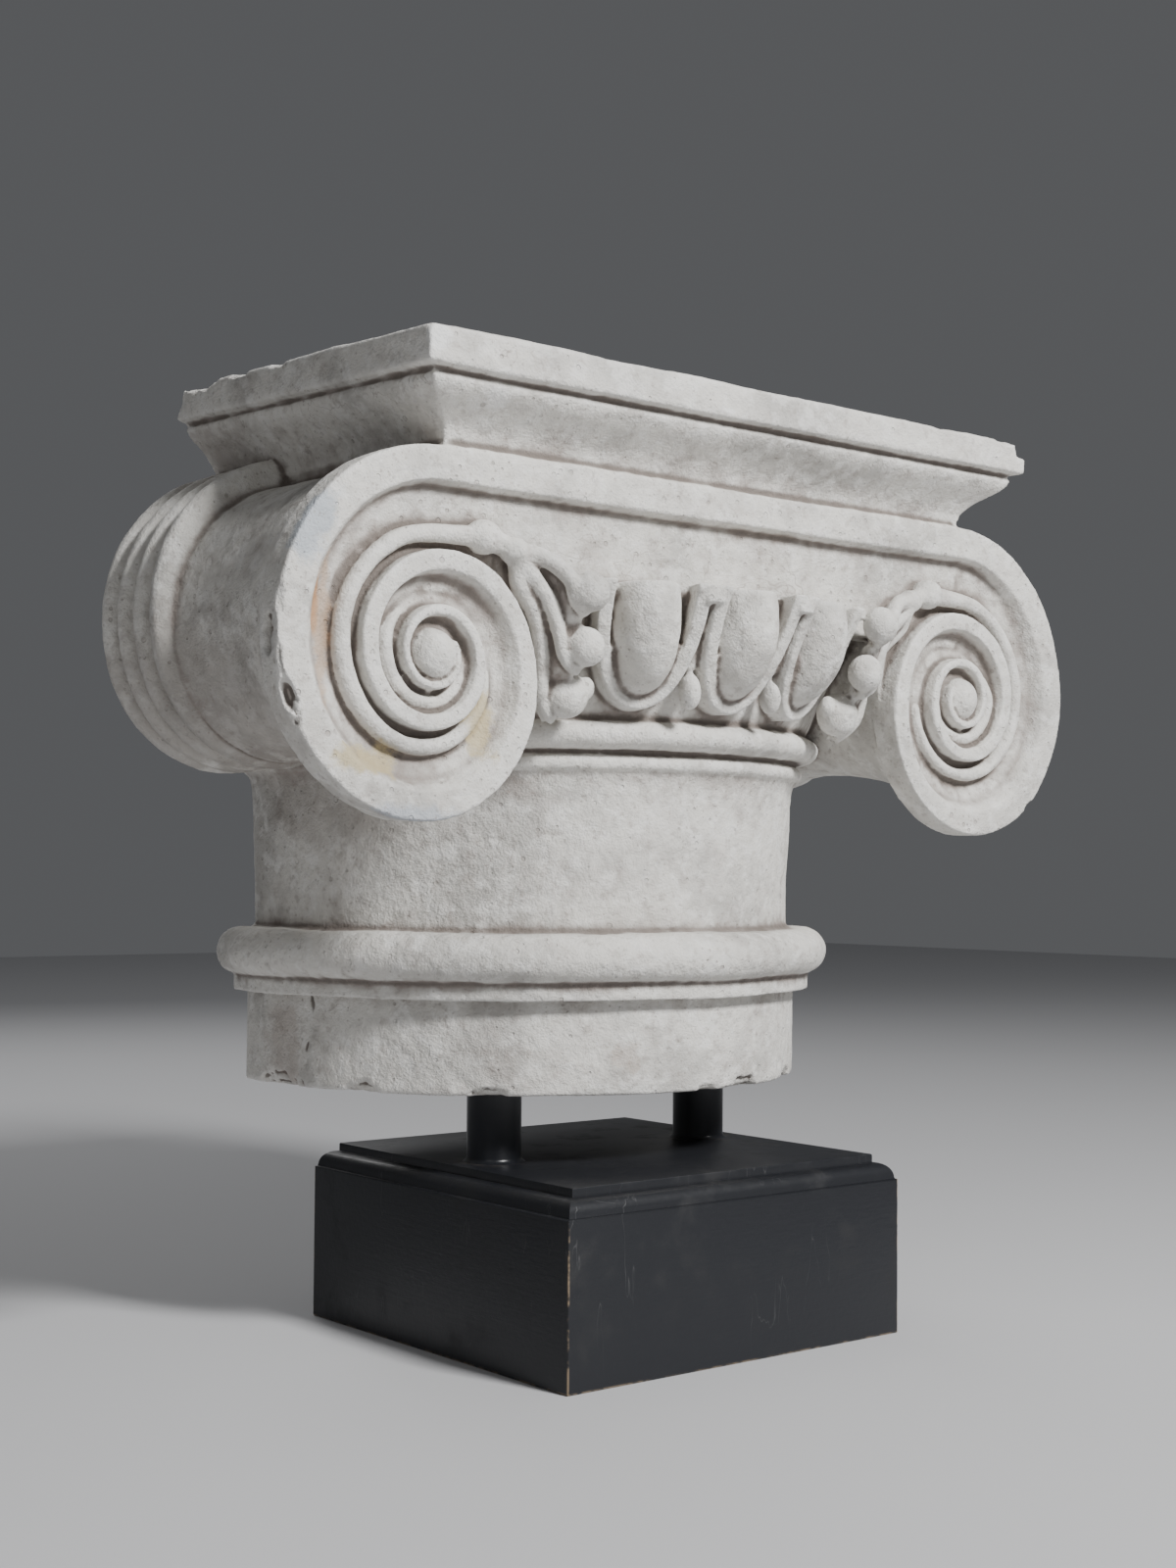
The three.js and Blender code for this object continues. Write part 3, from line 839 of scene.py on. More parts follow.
# %% Chips and cracks
# Each chip: its middle, its reach in X, Y and Z and its depth, in millimetres, and the way
# it is pushed.
CHIPS = [
    ((-358, -121, 463), (14, 5, 12), 14, (1, 0, 0)),
    ((-350, -134, 424), (9, 8, 12), 7, (0.8, 1, 0.2)),
    ((-342, -134, 411), (4, 5, 8), 2.5, (1, 0.8, 0)),
    ((-354, -134, 486), (4, 5, 12), 1.5, (1, 0.8, 0)),
    ((-273, 120, 668), (16, 40, 9), 4, (0.3, 0, -1)),
    ((-273, 150, 660), (14, 12, 12), 4, (1, -1, -0.5)),
    ((-273, 60, 664), (10, 16, 5), 3, (0.3, 0, -1)),
    ((-273, 10, 660), (9, 12, 4), 2, (0.3, 0, -1)),
    ((273, -166, 651), (12, 14, 12), 7, (-1, 1, -0.8)),
    ((255, -166, 652), (20, 8, 4), 3, (0, 0.4, -1)),
    ((180, -166, 652), (14, 6, 3), 1.5, (0, 0.5, -1)),
    ((-273, -166, 651), (5, 5, 5), 1.5, (1, 1, -0.6)),
    ((48, -98, 177), (18, 10, 6), 4, (0, 1, 0.6)),
    ((10, -103, 177), (10, 8, 4), 2.5, (0, 1, 0.6)),
    ((-140, -52, 177), (16, 12, 5), 3, (0.7, 1, 0.6)),
    ((-195, 20, 177), (10, 16, 5), 3, (1, 0.6, 0.6)),
    ((-213, 95, 177), (8, 24, 8), 5, (1, 0, 0.8)),
    ((120, -67, 177), (16, 12, 5), 3, (-0.6, 1, 0.6)),
    ((-250, -134, 330), (14, 6, 5), 2.5, (0, 1, 0.6)),
    ((250, -134, 330), (16, 6, 5), 2.5, (0, 1, 0.6)),
    ((318, -134, 372), (7, 6, 12), 2.5, (-0.6, 1, 0.2)),
    ((-233, 20, 268), (10, 14, 8), 2, (1, 0.4, 0)),
]


def push_chip(places, middle, reach, depth, way):
    offset = (places - np.array(middle) * MM) / (np.array(reach) * MM)
    distance = np.sqrt((offset ** 2).sum(1))
    near = distance < 1.6
    if not near.any():
        return
    torn = 0.16 * waves(places[near], 11 * MM, 10) + 0.05 * waves(places[near], 5 * MM, 10)
    fall = np.clip((1.1 + torn - distance[near]) * 1.7, 0, 1)
    push = np.array(way, float)
    push /= np.linalg.norm(push)
    places[near] += push * (fall * (depth + 2 * torn) * MM)[:, None]


for middle, reach, depth, way in CHIPS:
    push_chip(skin, middle, reach, depth, way)


def cut_line(places, surface_normals, points, width, depth, wobble=1.5):
    """Presses a narrow ragged line through points into the skin."""
    track = np.array(smooth_path([np.array(p, float) * MM for p in points], 14 * len(points)))
    low = track.min(0) - 12 * MM
    high = track.max(0) + 12 * MM
    near = np.flatnonzero(((places > low) & (places < high)).all(1))
    if not len(near):
        return
    here = places[near]
    here = here + wobble * MM * np.stack([waves(here, 14 * MM, 8) for _ in range(3)], 1)
    gap = np.full(len(near), 1.0)
    for a, b in zip(track[:-1], track[1:]):
        along = b - a
        share = np.clip(((here - a) @ along) / (along @ along), 0, 1)
        gap = np.minimum(gap, np.linalg.norm(here - (a + share[:, None] * along), axis=1))
    press = np.clip(1 - gap / (width * MM), 0, 1)
    places[near] -= surface_normals[near] * (press * depth * MM)[:, None]


# Each crack: the points along it, its width and its depth, in millimetres.
CRACKS = [
    ([(-211, 64, 178), (-212, 66, 200), (-210, 63, 236)], 2.8, 2.4),
    ([(-222, 63, 240), (-222, 60, 250), (-236, 52, 262), (-233, 46, 280)], 2.8, 2.4),
    ([(-361, -133, 462), (-354, -134, 448), (-349, -134, 434), (-342, -134, 416)], 3.4, 5),
    ([(-166, -18, 345), (-107, -71, 351), (-9, -100, 359)], 3.5, 0.5),
    ([(-200, 40, 300), (-200, 40, 340), (-203, 36, 380)], 2, 0.5),
]
for points, width, depth in CRACKS:
    cut_line(skin, normals, points, width, depth)
set_places(cast, skin)
print(len(CHIPS), "chips and", len(CRACKS), "cracks")

# %% [markdown]
# ## Hollows and arrises as a mask
# Dirt gathers in hollows, and painted shade is laid there too; hands polish the arrises.
# A strongly smoothed copy of the skin lies above it in the hollows and below it on the
# arrises. That distance along the normal is stored on every vertex, so the material can read it.

# %% Measure hollows, then thin the mesh
TRIANGLE_LIMIT = 192000
broad = smooth_skin(skin, edges, 42)
fine = smooth_skin(skin, edges, 8)
normals = normals_of(cast)
hollow = ((broad - skin) * normals).sum(1) / MM
crease = ((fine - skin) * normals).sum(1) / MM
print("hollow", hollow.min().round(2), hollow.max().round(2), "crease", crease.max().round(2))
triangles = sum(len(face.vertices) - 2 for face in cast.data.polygons)
apply_modifier(cast, "DECIMATE", ratio=min(1.0, TRIANGLE_LIMIT / triangles))
count(cast)

# %% Carry the masks over to the thinned skin
tree = KDTree(len(skin))
for i, place in enumerate(skin):
    tree.insert(place, i)
tree.balance()
thin = places_of(cast)
nearest = np.array([tree.find(place)[1] for place in thin])
for name, values in (("hollow", hollow), ("crease", crease)):
    mask = cast.data.attributes.new(name, "FLOAT", "POINT")
    mask.data.foreach_set("value", values[nearest].astype(np.float32))
low = np.array(capital_low) + 0.05 * MM
high = np.array(capital_high) - 0.05 * MM
set_places(cast, np.clip(thin, low, high))
only(cast)
bpy.ops.object.shade_smooth()
print("masks stored on", len(thin), "vertices")

# %% [markdown]
# ## The base block
# The block is a painted box with a quarter-round top edge and a thin raised panel. It is
# made as the abacus was: a square is extruded upwards and each new edge scaled about the
# middle. Small bevels keep any edge from being knife sharp.

# %% Block
BLOCK_HALF = block_high.x
BLOCK_TOP_Z = block_high.z


def block_levels():
    """Pairs of inset and height, in millimetres."""
    top = BLOCK_TOP_Z / MM
    levels = [(0.8, 0), (0, 0.8), (0, 107.6), (0.3, 108.6), (1.6, 109), (1.9, 110)]
    levels += [(12 - 10 * math.cos(a), 110 + 10 * math.sin(a)) for a in
               [math.radians(d) for d in range(12, 91, 13)]]
    levels += [(12.6, 120), (13, 120.3), (13, top - 0.9), (13.3, top - 0.3), (14, top)]
    return levels


def make_block():
    bpy.ops.object.select_all(action="DESELECT")
    bpy.ops.mesh.primitive_plane_add(size=2 * (BLOCK_HALF - 0.8 * MM))
    block = bpy.context.object
    block.name = "base_block_painted"
    bpy.ops.object.mode_set(mode="EDIT")
    bpy.ops.mesh.select_all(action="SELECT")
    inset, height = block_levels()[0]
    for next_inset, next_height in block_levels()[1:]:
        rise = (next_height - height) * MM
        ratio = (BLOCK_HALF - next_inset * MM) / (BLOCK_HALF - inset * MM)
        extrude_scaled((0, 0, rise), (ratio, ratio, 1), (0, 0, next_height * MM))
        inset, height = next_inset, next_height
    bpy.ops.object.mode_set(mode="OBJECT")
    close_up(block)
    upright = [
        edge.index for edge in block.data.edges
        if abs(block.data.vertices[edge.vertices[0]].co.z
               - block.data.vertices[edge.vertices[1]].co.z) > 5 * MM
    ]
    edit_all(block)
    bpy.ops.mesh.select_all(action="DESELECT")
    bpy.ops.object.mode_set(mode="OBJECT")
    bpy.context.tool_settings.mesh_select_mode = (False, True, False)
    for index in upright:
        block.data.edges[index].select = True
    bpy.ops.object.mode_set(mode="EDIT")
    bpy.ops.mesh.bevel(offset=0.9 * MM, segments=3, affect="EDGES")
    bpy.ops.object.mode_set(mode="OBJECT")
    bpy.context.tool_settings.mesh_select_mode = (True, False, False)
    only(block)
    bpy.ops.object.shade_smooth_by_angle(angle=math.radians(35))
    count(block)
    return block


block = make_block()

# %% [markdown]
# ## The posts
# Two lengths of steel tube carry the cast. Each is a cylinder with a thin ring of filler
# round its foot, where it goes through the panel.

# %% Posts
def make_post(node):
    low_corner, high_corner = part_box(node)
    middle = (low_corner + high_corner) / 2
    radius = (high_corner.x - low_corner.x) / 2
    height = high_corner.z - low_corner.z
    bpy.ops.object.select_all(action="DESELECT")
    bpy.ops.mesh.primitive_cylinder_add(
        vertices=64, radius=radius, depth=height, location=middle, end_fill_type="NGON"
    )
    post = bpy.context.object
    post.name = node + "_painted"
    settle(post)
    edit_all(post)
    for rise in (3 * MM, 1.6 * MM, 0.5 * MM):
        bpy.ops.mesh.select_all(action="SELECT")
        bpy.ops.mesh.bisect(plane_co=(0, 0, low_corner.z + rise), plane_no=(0, 0, 1))
    bpy.ops.object.mode_set(mode="OBJECT")
    for vertex in post.data.vertices:
        rise = vertex.co.z - low_corner.z
        if rise < 2.9 * MM:
            swell = 1 + (1 - rise / (3 * MM)) ** 2 * 2.6 * MM / radius
            vertex.co.x = middle.x + (vertex.co.x - middle.x) * swell
            vertex.co.y = middle.y + (vertex.co.y - middle.y) * swell
    close_up(post)
    only(post)
    bpy.ops.object.shade_smooth_by_angle(angle=math.radians(40))
    count(post)
    return post


posts = [make_post("mount_post_left"), make_post("mount_post_right")]

# %% [markdown]
# ## Material helpers
# Nodes are added and wired by short functions. A constant goes straight on a socket, and
# only what changes over the surface is wired.

# %% Node helpers
def add_node(tree, kind, values=None, **settings):
    made = tree.nodes.new(kind)
    for name, value in settings.items():
        setattr(made, name, value)
    for name, value in (values or {}).items():
        made.inputs[name].default_value = value
    return made


def wire(tree, source, target):
    tree.links.new(source, target)


def maths(tree, operation, first, second=None, clamp=False):
    made = tree.nodes.new("ShaderNodeMath")
    made.operation = operation
    made.use_clamp = clamp
    for i, value in enumerate((first, second)):
        if value is None:
            continue
        if isinstance(value, (int, float)):
            made.inputs[i].default_value = value
        else:
            tree.links.new(value, made.inputs[i])
    return made.outputs[0]


def times(tree, first, second):
    return maths(tree, "MULTIPLY", first, second)


def noise(tree, place, scale, detail, roughness=0.6, stretch=None):
    """A noise between 0 and 1, drawn out along the axes by a stretch."""
    if stretch:
        stretched = add_node(tree, "ShaderNodeVectorMath", operation="MULTIPLY")
        stretched.inputs[1].default_value = stretch
        wire(tree, place, stretched.inputs[0])
        place = stretched.outputs[0]
    made = add_node(tree, "ShaderNodeTexNoise", {"Detail": detail, "Roughness": roughness})
    wire(tree, place, made.inputs["Vector"])
    if isinstance(scale, bpy.types.NodeSocket):
        wire(tree, scale, made.inputs["Scale"])
    else:
        made.inputs["Scale"].default_value = scale
    return made.outputs["Fac"]


def ramp(tree, source, low_value, high_value):
    """Turns low..high into 0..1, softly."""
    made = add_node(tree, "ShaderNodeMapRange", {"From Min": low_value, "From Max": high_value},
                    interpolation_type="SMOOTHSTEP")
    tree.links.new(source, made.inputs["Value"])
    return made.outputs["Result"]


def blend(tree, mask, under, over):
    """Mixes two colours, each a socket or a plain colour."""
    made = add_node(tree, "ShaderNodeMix", data_type="RGBA")
    tree.links.new(mask, made.inputs["Factor"])
    for name, value in (("A", under), ("B", over)):
        sockets = [socket for socket in made.inputs if socket.name == name and socket.type == "RGBA"]
        if isinstance(value, tuple):
            sockets[0].default_value = (*value, 1)
        else:
            tree.links.new(value, sockets[0])
    return [socket for socket in made.outputs if socket.type == "RGBA"][0]


def lay(tree, under, mask, strength, over):
    """Lays a colour over another where the mask is, at part strength."""
    return blend(tree, times(tree, mask, strength), under, over)


def group(name, inputs, outputs):
    """A node group with named sockets: inputs are name, kind, value."""
    tree = bpy.data.node_groups.new(name, "ShaderNodeTree")
    for socket_name, kind, value in inputs:
        socket = tree.interface.new_socket(socket_name, in_out="INPUT", socket_type=kind)
        if value is not None:
            socket.default_value = value
    for socket_name in outputs:
        tree.interface.new_socket(socket_name, in_out="OUTPUT", socket_type="NodeSocketFloat")
    return tree, tree.nodes.new("NodeGroupInput"), tree.nodes.new("NodeGroupOutput")


def use_group(tree, shared, **values):
    made = tree.nodes.new("ShaderNodeGroup")
    made.node_tree = shared
    for name, value in values.items():
        socket = made.inputs[name.replace("_", " ")]
        if isinstance(value, bpy.types.NodeSocket):
            tree.links.new(value, socket)
        else:
            socket.default_value = value
    return made


# %% [markdown]
# ## Shared effects
# Four effects are used again and again: soft mottling, a patch with ragged edges at one
# place for stains and for painted shade, thin wandering lines for cracks and scratches, and small
# round pits.

# %% Mottle, stain, lines and pits
FLOAT = "NodeSocketFloat"
VECTOR = "NodeSocketVector"


def mottle_group():
    tree, source, sink = group(
        "Mottle", [("Place", VECTOR, None), ("Scale", FLOAT, 10), ("Low", FLOAT, 0.4),
                   ("High", FLOAT, 0.6)], ["Mask"])
    cloud = noise(tree, source.outputs["Place"], source.outputs["Scale"], 4, 0.62)
    reach = add_node(tree, "ShaderNodeMapRange", interpolation_type="SMOOTHSTEP")
    wire(tree, cloud, reach.inputs["Value"])
    wire(tree, source.outputs["Low"], reach.inputs["From Min"])
    wire(tree, source.outputs["High"], reach.inputs["From Max"])
    wire(tree, reach.outputs["Result"], sink.inputs["Mask"])
    return tree


def patch_group():
    tree, source, sink = group(
        "Patch", [("Place", VECTOR, None), ("Middle", VECTOR, None), ("Reach", VECTOR, None),
                  ("Ragged", FLOAT, 0.6), ("Noise", FLOAT, 0.5)], ["Mask"])
    away = add_node(tree, "ShaderNodeVectorMath", operation="SUBTRACT")
    wire(tree, source.outputs["Place"], away.inputs[0])
    wire(tree, source.outputs["Middle"], away.inputs[1])
    share = add_node(tree, "ShaderNodeVectorMath", operation="DIVIDE")
    wire(tree, away.outputs[0], share.inputs[0])
    wire(tree, source.outputs["Reach"], share.inputs[1])
    length = add_node(tree, "ShaderNodeVectorMath", operation="LENGTH")
    wire(tree, share.outputs[0], length.inputs[0])
    rag = maths(tree, "SUBTRACT", source.outputs["Noise"], 0.5)
    rag = times(tree, rag, source.outputs["Ragged"])
    rag = times(tree, rag, 3)
    total = maths(tree, "ADD", length.outputs["Value"], rag)
    inside = maths(tree, "SUBTRACT", 1, total)
    wire(tree, ramp(tree, inside, 0, 0.5), sink.inputs["Mask"])
    return tree


def lines_group():
    """Thin lines where a noise crosses its middle value."""
    tree, source, sink = group(
        "Lines", [("Place", VECTOR, None), ("Stretch", VECTOR, None), ("Scale", FLOAT, 10),
                  ("Width", FLOAT, 0.006)], ["Mask"])
    stretch = add_node(tree, "ShaderNodeVectorMath", operation="MULTIPLY")
    wire(tree, source.outputs["Place"], stretch.inputs[0])
    wire(tree, source.outputs["Stretch"], stretch.inputs[1])
    field = noise(tree, stretch.outputs[0], source.outputs["Scale"], 3, 0.5)
    off = maths(tree, "ABSOLUTE", maths(tree, "SUBTRACT", field, 0.5))
    near = maths(tree, "DIVIDE", off, source.outputs["Width"])
    wire(tree, maths(tree, "SUBTRACT", 1, near, clamp=True), sink.inputs["Mask"])
    return tree


def pits_group():
    tree, source, sink = group(
        "Pits", [("Place", VECTOR, None), ("Scale", FLOAT, 150), ("Size", FLOAT, 0.2)], ["Mask"])
    cells = add_node(tree, "ShaderNodeTexVoronoi", {"Randomness": 1})
    wire(tree, source.outputs["Place"], cells.inputs["Vector"])
    wire(tree, source.outputs["Scale"], cells.inputs["Scale"])
    chance = add_node(tree, "ShaderNodeSeparateColor")
    wire(tree, cells.outputs["Color"], chance.inputs["Color"])
    size = times(tree, chance.outputs[0], source.outputs["Size"])
    size = times(tree, size, ramp(tree, chance.outputs[1], 0.55, 0.8))
    inside = maths(tree, "SUBTRACT", size, cells.outputs["Distance"])
    wire(tree, ramp(tree, inside, 0, 0.08), sink.inputs["Mask"])
    return tree


MOTTLE = mottle_group()
PATCH = patch_group()
LINES = lines_group()
PITS = pits_group()
print("node groups", MOTTLE.name, PATCH.name, LINES.name, PITS.name)

# %% [markdown]
# ## Plaster
# Old plaster is not white. It is a warm grey cream, cloudy at a hand's width, with pale and
# dark flecks and faint streaks. Every hollow is laid pinkish brown, partly dust and partly
# painted shade, every sharp groove gets a dark line of painted shade and dirt, and the worn
# arrises are paler. Then come pin holes, hairline cracks on the slab, scratches over the
# eggs, stains of rust, oil and glue, fresh white breaks, and painted shade over the left
# sides of the side rolls and the drum.

# %% Plaster colour and relief
def mottle(tree, place, scale, low_value, high_value):
    made = use_group(tree, MOTTLE, Place=place, Scale=scale, Low=low_value, High=high_value)
    return made.outputs["Mask"]


def patch_mask(tree, place, fray, middle, reach, ragged=0.6):
    middle = tuple(value * MM for value in middle)
    reach = tuple(value * MM for value in reach)
    made = use_group(tree, PATCH, Place=place, Middle=middle, Reach=reach, Ragged=ragged, Noise=fray)
    return made.outputs["Mask"]


def lines(tree, place, stretch, scale, width):
    made = use_group(tree, LINES, Place=place, Stretch=stretch, Scale=scale, Width=width)
    return made.outputs["Mask"]


CREAM = (0.70, 0.68, 0.635)
GREY = (0.50, 0.485, 0.455)
DUST_AND_SHADE_TONE = (0.27, 0.225, 0.20)
DARK = (0.12, 0.10, 0.085)
PALE = (0.82, 0.81, 0.78)
# Each row: colour, strength, middle and reach in millimetres, raggedness. Most rows are stains and
# fresh breaks; the last two are painted shade on the left side of the bolster and the drum.
STAINS_AND_SHADE = [
    ((0.50, 0.27, 0.13), 0.85, (-324, -128, 484), (5, 12, 26), 0.4),
    ((0.46, 0.31, 0.20), 0.6, (-318, -126, 470), (7, 16, 60), 0.7),
    ((0.50, 0.41, 0.23), 0.8, (-289, -128, 392), (34, 20, 12), 0.8),
    ((0.52, 0.43, 0.25), 0.8, (-203, -124, 415), (14, 20, 26), 0.8),
    ((0.38, 0.43, 0.49), 0.7, (-335, -136, 535), (26, 14, 34), 0.6),
    ((0.40, 0.44, 0.50), 0.65, (-262, -136, 356), (60, 14, 12), 0.5),
    ((0.80, 0.80, 0.78), 0.95, (-266, -168, 643), (12, 10, 13), 0.4),
    ((0.78, 0.77, 0.75), 0.8, (-214, -160, 612), (22, 20, 10), 0.8),
    ((0.80, 0.79, 0.77), 0.9, (268, -160, 648), (20, 20, 8), 0.6),
    ((0.80, 0.79, 0.77), 0.9, (-31, -168, 632), (7, 8, 3), 0.6),
    ((0.76, 0.75, 0.72), 0.8, (-273, 90, 666), (14, 60, 6), 0.7),
    ((0.80, 0.79, 0.76), 0.85, (-347, -134, 424), (8, 8, 12), 0.3),
    ((0.36, 0.28, 0.22), 0.4, (-58, -98, 200), (14, 20, 14), 1.0),
    ((0.34, 0.27, 0.23), 0.4, (-212, 92, 205), (16, 26, 36), 0.9),
    ((0.30, 0.25, 0.22), 0.45, (-270, 120, 610), (40, 60, 30), 0.8),
    # Painted shade: these two rows darken the left side of the bolster and of the drum below it, where
    # the light falls away.
    ((0.24, 0.205, 0.18), 0.45, (-300, 60, 420), (110, 150, 90), 0.8),
    ((0.24, 0.205, 0.18), 0.4, (-215, 20, 380), (70, 120, 60), 0.8),
]


def plaster_material():
    material = bpy.data.materials.new("old_plaster")
    material.use_nodes = True
    tree = material.node_tree
    shader = tree.nodes["Principled BSDF"]
    shader.inputs["IOR"].default_value = 1.45
    shader.inputs["Specular IOR Level"].default_value = 0.35
    place = add_node(tree, "ShaderNodeTexCoord").outputs["Object"]
    hollow_mask = add_node(tree, "ShaderNodeAttribute", attribute_name="hollow").outputs["Fac"]
    crease_mask = add_node(tree, "ShaderNodeAttribute", attribute_name="crease").outputs["Fac"]

    colour = blend(tree, mottle(tree, place, 11, 0.45, 0.66), CREAM, GREY)
    fine_cloud = mottle(tree, place, 75, 0.48, 0.62)
    colour = lay(tree, colour, fine_cloud, 0.5, PALE)
    flecks = mottle(tree, place, 120, 0.56, 0.68)
    colour = lay(tree, colour, flecks, 0.3, DUST_AND_SHADE_TONE)
    streak_mask = ramp(tree, noise(tree, place, 1, 4, stretch=(28, 28, 60)), 0.5, 0.72)
    colour = lay(tree, colour, streak_mask, 0.22, DUST_AND_SHADE_TONE)

    # Painted shade and dust: hollows turn pinkish brown, partly dust and partly painted shade, and
    # sharp grooves get a near-black line of painted shade, partly dirt.
    cloud = mottle(tree, place, 30, 0.3, 0.75)
    deep = ramp(tree, maths(tree, "ADD", hollow_mask, times(tree, cloud, 0.9)), 0.25, 1.7)
    colour = lay(tree, colour, deep, 0.8, DUST_AND_SHADE_TONE)
    sharp = ramp(tree, crease_mask, 0.07, 0.45)
    colour = lay(tree, colour, sharp, 0.75, DARK)
    worn = ramp(tree, times(tree, hollow_mask, -1), 0.5, 2.2)
    colour = lay(tree, colour, worn, 0.4, PALE)
    # fray ragges the edges of the stains and of the painted shade patches; the loop below lays both.
    fray = noise(tree, place, 60, 5, 0.65)      # frays the edges of every stain
    for tint, strength, middle, reach, ragged in STAINS_AND_SHADE:
        mask = patch_mask(tree, place, fray, middle, reach, ragged)
        colour = lay(tree, colour, mask, strength, tint)

    height_mask = add_node(tree, "ShaderNodeSeparateXYZ")
    wire(tree, place, height_mask.inputs[0])
    on_slab = ramp(tree, height_mask.outputs["Z"], 0.55, 0.6)
    hair = lines(tree, place, (1, 1, 1), 34, 0.006)
    hair = times(tree, hair, mottle(tree, place, 14, 0.5, 0.6))
    hair = times(tree, hair, maths(tree, "ADD", times(tree, on_slab, 0.8), 0.2))
    on_canal = patch_mask(tree, place, fray, (0, -120, 535), (190, 12, 26), 0.3)
    flat_lines = lines(tree, place, (0.35, 0.35, 1), 40, 0.007)
    cross_lines = lines(tree, place, (0.6, 0.6, 0.5), 26, 0.004)
    scratch = maths(tree, "ADD", flat_lines, cross_lines)
    scratch = maths(tree, "MULTIPLY", scratch, on_canal, clamp=True)
    on_neck = patch_mask(tree, place, fray, (-135, -50, 320), (30, 30, 40), 0.5)
    neck_lines = times(tree, lines(tree, place, (1.6, 1.6, 0.3), 50, 0.008), on_neck)
    marks = maths(tree, "MAXIMUM", maths(tree, "MAXIMUM", hair, scratch), neck_lines)
    colour = lay(tree, colour, marks, 0.55, DUST_AND_SHADE_TONE)
    pits = use_group(tree, PITS, Place=place, Scale=150.0, Size=0.32).outputs["Mask"]
    specks = use_group(tree, PITS, Place=place, Scale=330.0, Size=0.4).outputs["Mask"]
    pit_patch = times(tree, pits, mottle(tree, place, 16, 0.45, 0.6))
    dots = times(tree, maths(tree, "MAXIMUM", pit_patch, specks), 0.4)
    colour = blend(tree, dots, colour, DUST_AND_SHADE_TONE)
    wire(tree, colour, shader.inputs["Base Color"])

    shine = maths(tree, "ADD", times(tree, cloud, 0.14), 0.76)
    wire(tree, maths(tree, "SUBTRACT", shine, times(tree, worn, 0.1)), shader.inputs["Roughness"])

    grain = times(tree, noise(tree, place, 620, 3), 0.26)
    lumps = times(tree, noise(tree, place, 110, 5, 0.55), 0.8)
    height = maths(tree, "ADD", grain, lumps)
    height = maths(tree, "SUBTRACT", height, times(tree, pits, 0.25))
    bump = add_node(tree, "ShaderNodeBump", {"Strength": 0.9, "Distance": 3.6 * MM})
    wire(tree, height, bump.inputs["Height"])
    wire(tree, bump.outputs["Normal"], shader.inputs["Normal"])
    return material


plaster = plaster_material()
print("plaster has", len(plaster.node_tree.nodes), "nodes")

# %% [markdown]
# ## Black paint
# The block has a brushed satin black paint. It is rubbed to brown wood along the corner
# edges and the foot, dusty in patches, and scuffed in faint grey lines. The same recipe,
# smoother and without the rubbed edges, makes the enamel of the posts.

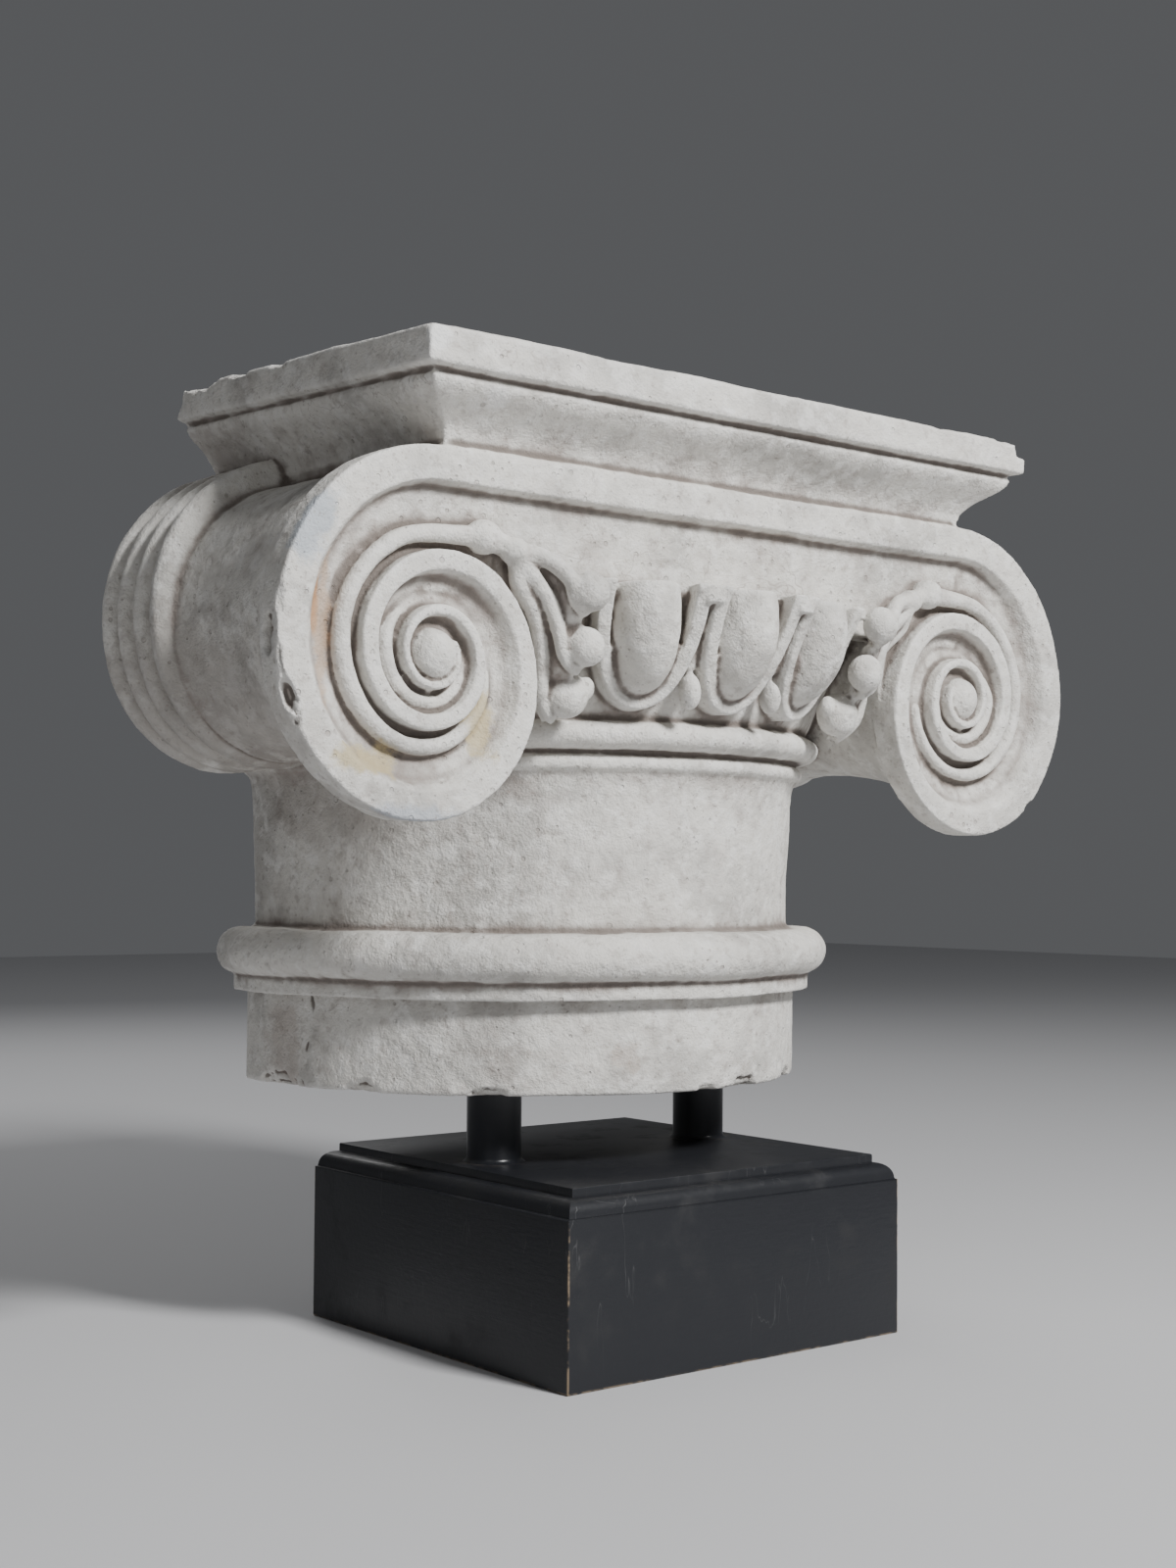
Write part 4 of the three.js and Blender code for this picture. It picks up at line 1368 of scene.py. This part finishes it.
# %% Black paint and black enamel
def black_material(name, paint, roughness, wear, bump_height):
    material = bpy.data.materials.new(name)
    material.use_nodes = True
    tree = material.node_tree
    shader = tree.nodes["Principled BSDF"]
    shader.inputs["Specular IOR Level"].default_value = 0.45
    place = add_node(tree, "ShaderNodeTexCoord").outputs["Object"]
    parts = add_node(tree, "ShaderNodeSeparateXYZ")
    wire(tree, place, parts.inputs[0])
    dusty = mottle(tree, place, 30, 0.5, 0.8)
    colour = blend(tree, times(tree, dusty, 0.3), paint, (0.03, 0.029, 0.028))
    scuff_patch = mottle(tree, place, 12, 0.5, 0.65)
    scuffs = times(tree, lines(tree, place, (1.5, 1.5, 0.25), 30, 0.004), scuff_patch)
    colour = lay(tree, colour, scuffs, 0.35, (0.12, 0.12, 0.12))
    if wear:
        reach_x = maths(tree, "ABSOLUTE", parts.outputs["X"])
        reach_y = maths(tree, "ABSOLUTE", parts.outputs["Y"])
        corner = maths(tree, "MINIMUM", reach_x, reach_y)
        corner = ramp(tree, corner, BLOCK_HALF - 1.5 * MM, BLOCK_HALF - 0.4 * MM)
        foot = ramp(tree, times(tree, parts.outputs["Z"], -1), -1.8 * MM, -0.3 * MM)
        edge = maths(tree, "MAXIMUM", corner, foot)
        rubbed = times(tree, edge, mottle(tree, place, 90, 0.42, 0.62))
        colour = blend(tree, rubbed, colour, (0.27, 0.20, 0.13))
        fray = noise(tree, place, 60, 5, 0.65)
        for post in posts:
            low_corner, high_corner = [Vector(c) for c in (post.bound_box[0], post.bound_box[6])]
            middle = (low_corner + high_corner) / 2
            ring = patch_mask(tree, place, fray, tuple(v / MM for v in (middle.x, middle.y, BLOCK_TOP_Z)),
                         (31, 29, 8), 0.6)
            colour = lay(tree, colour, ring, 0.4, (0.10, 0.085, 0.07))
    wire(tree, colour, shader.inputs["Base Color"])
    matt = maths(tree, "ADD", times(tree, dusty, 0.18), roughness)
    wire(tree, matt, shader.inputs["Roughness"])
    brush = noise(tree, place, 1, 4, stretch=(40, 40, 420))
    orange_peel = noise(tree, place, 260, 2, 0.5)
    height = maths(tree, "ADD", brush, orange_peel)
    height = maths(tree, "SUBTRACT", height, times(tree, scuffs, 0.5))
    bump = add_node(tree, "ShaderNodeBump", {"Strength": 0.5, "Distance": bump_height * MM})
    wire(tree, height, bump.inputs["Height"])
    wire(tree, bump.outputs["Normal"], shader.inputs["Normal"])
    return material


black_paint = black_material("black_paint", (0.012, 0.013, 0.016), 0.4, True, 0.25)
black_enamel = black_material("black_enamel", (0.010, 0.011, 0.014), 0.3, False, 0.12)


def dress(piece, material, nodes):
    piece.data.materials.clear()
    piece.data.materials.append(material)
    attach(piece, "root")
    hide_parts(*nodes)


dress(cast, plaster, ["capital"])
dress(block, black_paint, ["base_block"])
for post, node in zip(posts, ("mount_post_left", "mount_post_right")):
    dress(post, black_enamel, [node])

# %% [markdown]
# ## Floor, backdrop and light
# The cast stands on a pale floor under a dim grey sky. One soft light stands in front,
# above the cast, and only grazes its sides, so the left side falls into shade. A weak fill
# stands on the left, and a light behind lifts the top edges.

# %% Studio
def studio():
    bpy.ops.object.select_all(action="DESELECT")
    bpy.ops.mesh.primitive_plane_add(size=12, location=(0, 0, 0))
    floor = bpy.context.object
    floor.name = "floor"
    paper = bpy.data.materials.new("pale_paper")
    paper.use_nodes = True
    paper_shader = paper.node_tree.nodes["Principled BSDF"]
    paper_shader.inputs["Base Color"].default_value = (0.55, 0.55, 0.56, 1)
    paper_shader.inputs["Roughness"].default_value = 0.8
    floor.data.materials.append(paper)
    world = bpy.data.worlds.new("studio")
    bpy.context.scene.world = world
    world.use_nodes = True
    sky = world.node_tree.nodes["Background"]
    sky.inputs["Color"].default_value = (0.42, 0.43, 0.45, 1)
    sky.inputs["Strength"].default_value = 0.24


def area_light(name, place, aim, size, power):
    lamp = bpy.data.lights.new(name, "AREA")
    lamp.energy = power
    lamp.size = size
    holder = bpy.data.objects.new(name, lamp)
    bpy.context.collection.objects.link(holder)
    holder.location = place
    holder.rotation_euler = (Vector(aim) - Vector(place)).to_track_quat("-Z", "Y").to_euler()


studio()
area_light("key", (0.25, -2.4, 2.1), (0, 0, 0.42), 0.5, 135)
area_light("fill", (-2.2, -1.4, 1.7), (0, 0, 0.42), 0.8, 4)
area_light("back", (0.4, 2.4, 2.0), (0, 0, 0.42), 1.4, 20)
